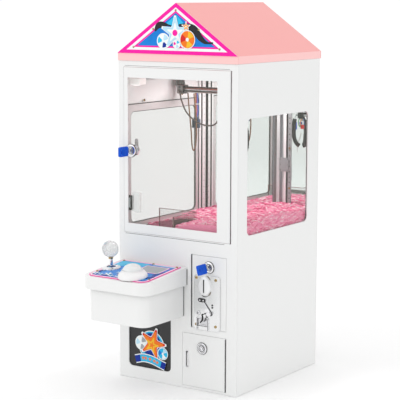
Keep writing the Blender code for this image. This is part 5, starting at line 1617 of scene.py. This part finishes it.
BRAIDED_ROUTE = (
    (-129.0, 26.0, 612.0), (-121.0, 20.0, 604.0), (-112.0, 14.0, 588.0), (-96.0, 8.0, 566.0),
    (-72.0, 4.0, 549.0), (-45.0, 2.0, 540.0), (-18.0, 2.0, 542.0), (-5.0, 4.0, 560.0),
    (0.5, 8.0, 586.0), (4.0, 12.0, 604.0),
)
PALE_LEAD_ROUTE = (
    (27.0, 18.4, 503.0), (23.0, 16.3, 492.0), (17.0, 13.1, 482.0), (12.6, 10.8, 472.0), (11.8, 10.3, 457.0),
)
CLAW_WIRE_ROUTE = (
    (-117.5, 46.0, 604.0), (-115.5, 46.0, 580.0), (-112.7, 46.0, 555.5), (-108.6, 46.0, 518.3),
    (-106.3, 46.0, 488.6), (-102.0, 46.0, 476.5), (-96.8, 46.0, 489.0), (-94.6, 46.0, 519.0),
    (-96.2, 46.0, 556.0), (-99.0, 45.5, 585.0), (-100.0, 44.0, 604.0),
)


def hanging_cord(name, route, diameter, look, bodies, node=None):
    """A cable along its route, from one end to the other."""
    points = smooth_route(route, 8)

    def make(shape):
        add_tube(shape, points, diameter / 2, 14)
    obj = link_mesh(name, make)
    obj.data.materials.append(look)
    obj.data.shade_smooth()
    if len(bodies) == 1:
        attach(obj, bodies[0])
    else:
        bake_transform(obj)
    if node:
        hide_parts(node)


def hanging_cables():
    hanging_cord("gantry_braided_cable", BRAIDED_ROUTE, 3.4, BRAID, ("bridge", "trolley"),
                 "braided_cable")
    hanging_cord("gantry_brown_wires", CLAW_WIRE_ROUTE, 3.0, BROWN_WIRE, ("bridge",), "claw_cable")
    hanging_cord("claw_pale_lead", PALE_LEAD_ROUTE, 1.3, PALE_WIRE, ("claw",))
    loom = ((-2.5, 55.0, 607.2), (-1.0, 55.4, 596.0), (-0.5, 55.0, 580.0), (0.3, 54.8, 564.0), (-1.5, 55.0, 550.5))
    for number, (look, spread) in enumerate(((WIRE_ORANGE, 2.7), (WIRE_MAGENTA, 0.0), (WIRE_BLUE, -2.7))):
        route = [(-99.4 - spread + x, y, z) for x, y, z in loom]
        hanging_cord(f"loom_wire_{number + 1}", route, 2.0, look, ("bridge",))


def loom_tie():
    def tie(shape):
        place = facing(-99.6, 55.1, 579.0, "+Z")
        add_ring(shape, ellipse((0, 0), 4.9, 20, 0.5), ellipse((0, 0), 4.1, 20, 0.42), place, 0.0, 2.2)
        add_box(shape, (3.6, 6.8), (-1.2, 1.2), (-0.2, 2.4), place)
    piece("loom_tie", "bridge", WHITE_PLASTIC, tie, bevel=0.15)


def loom_connector():
    def shell(shape):
        place = facing(0, 59.0, 0, "-Y")
        add_prism(shape, rounded(-110.0, -92.5, 526.5, 547.0, 1.5, 3), place, 0.0, 8.0)
        add_prism(shape, rounded(-107.0, -95.0, 546.7, 550.2, 1.0, 3), place, 1.5, 6.5)
        for row in range(4):
            x = -108.0 + row * 4.3
            add_box(shape, (x, x + 2.0), (529.0, 541.0), (7.8, 8.4), place, 1)
    piece("loom_connector", "bridge", [CONNECTOR, BLACK], shell, bevel=0.4)


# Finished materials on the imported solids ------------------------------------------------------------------

def dress(node, look, edge, segments):
    """Gives a CAD node its finished material and, where asked, softly broken edges."""
    obj = NODES[node]
    obj.data.materials.clear()
    obj.data.materials.append(look)
    if edge:
        soften(obj, edge, segments)


# Each finish is its material, the width of its broken edges in metres, their segments, and its nodes.
FINISHES = (
    (WHITE, 0.0006, 2, ("left_wall", "right_wall", "back_wall", "front_panel", "front_door_frame",
                        "coin_door_panel", "service_door_panel")),
    (WHITE, 0.0012, 3, ("console_box", "console_lid")),
    (PINK, 0.0006, 2, ("roof_shell",)),
    (PALE_PINK, 0.0004, 2, ("gable_front_plate",)),
    (PINK, 0.0004, 2, ("gable_back_plate",)),
    (ACRYLIC, 0.0, 2, ("left_window", "right_window", "front_door_glass", "chute_guard")),
    (MIRROR, 0.0, 2, ("back_mirror",)),
    (ZINC, 0.0003, 2, ("base_pan", "playfield_deck", "prize_chute", "cash_box", "control_box",
                       "coin_return_flap")),
    (ALUMINIUM, 0.0003, 2, ("rail_left", "rail_right")),
    (CHROME, 0.0004, 2, ("bridge_beam",)),
    (CHROME, 0.0003, 2, ("lift_tube", "claw_head", "claw_prong_1", "claw_prong_2", "claw_prong_3",
                         "joystick_shaft", "joystick_housing", "front_lock_housing", "front_lock_cylinder",
                         "coin_lock_housing", "coin_lock_cylinder", "service_lock_housing",
                         "service_lock_cylinder")),
    (SATIN_CHROME, 0.0005, 2, ("coin_acceptor_plate",)),
    (BLACK, 0.0004, 2, ("coin_acceptor_body", "coin_reject_button", "joystick_gimbal", "trolley",
                        "power_inlet", "power_rocker", "prize_flap")),
    (WHITE_PLASTIC, 0.0004, 2, ("magnetic_catch", "button_bezel", "led_lamp", "button_cap", "joystick_ball")),
    (BLUE_PLASTIC, 0.0006, 2, ("front_key", "coin_key")),
    (INKS[PINK_INK], 0.0, 2, ("gable_graphic_panel", "console_graphic_panel")),
)


def dress_cad_nodes():
    """Finishes every CAD node; the roof's upright side faces get a paler pink, painted light for the light that falls
    on them.
    """
    for look, edge, segments, nodes in FINISHES:
        for node in nodes:
            dress(node, look, edge, segments)
    roof = NODES["roof_shell"].data
    roof.materials.append(PAINTED_LIGHT_SIDE_PINK)
    for face in roof.polygons:
        if abs(face.normal.z) < 0.2 and abs(face.normal.x) > 0.8:
            face.material_index = 1


make_camera()
make_studio()
bpy.context.scene.view_settings.view_transform = "Standard"

hanging_cables()
gable_print()
flap_print()
console_shells()
console_print()
joystick()
push_button()
lock("front", 13.5)
lock("coin", 12.0, key_turn=COIN_KEY_TURN)
lock("service", 12.0, tubular=True)
door_key("front")
door_key("coin", COIN_KEY_TURN)
coin_mechanism()
service_pull()
door_painted_shadow_gaps()
pane_edges()
corner_posts()
catch()
lamp()
plush_mat()
plush_pile()
gantry_beam()
trolley_parts()
claw()
loom_connector()
loom_tie()
dress_cad_nodes()
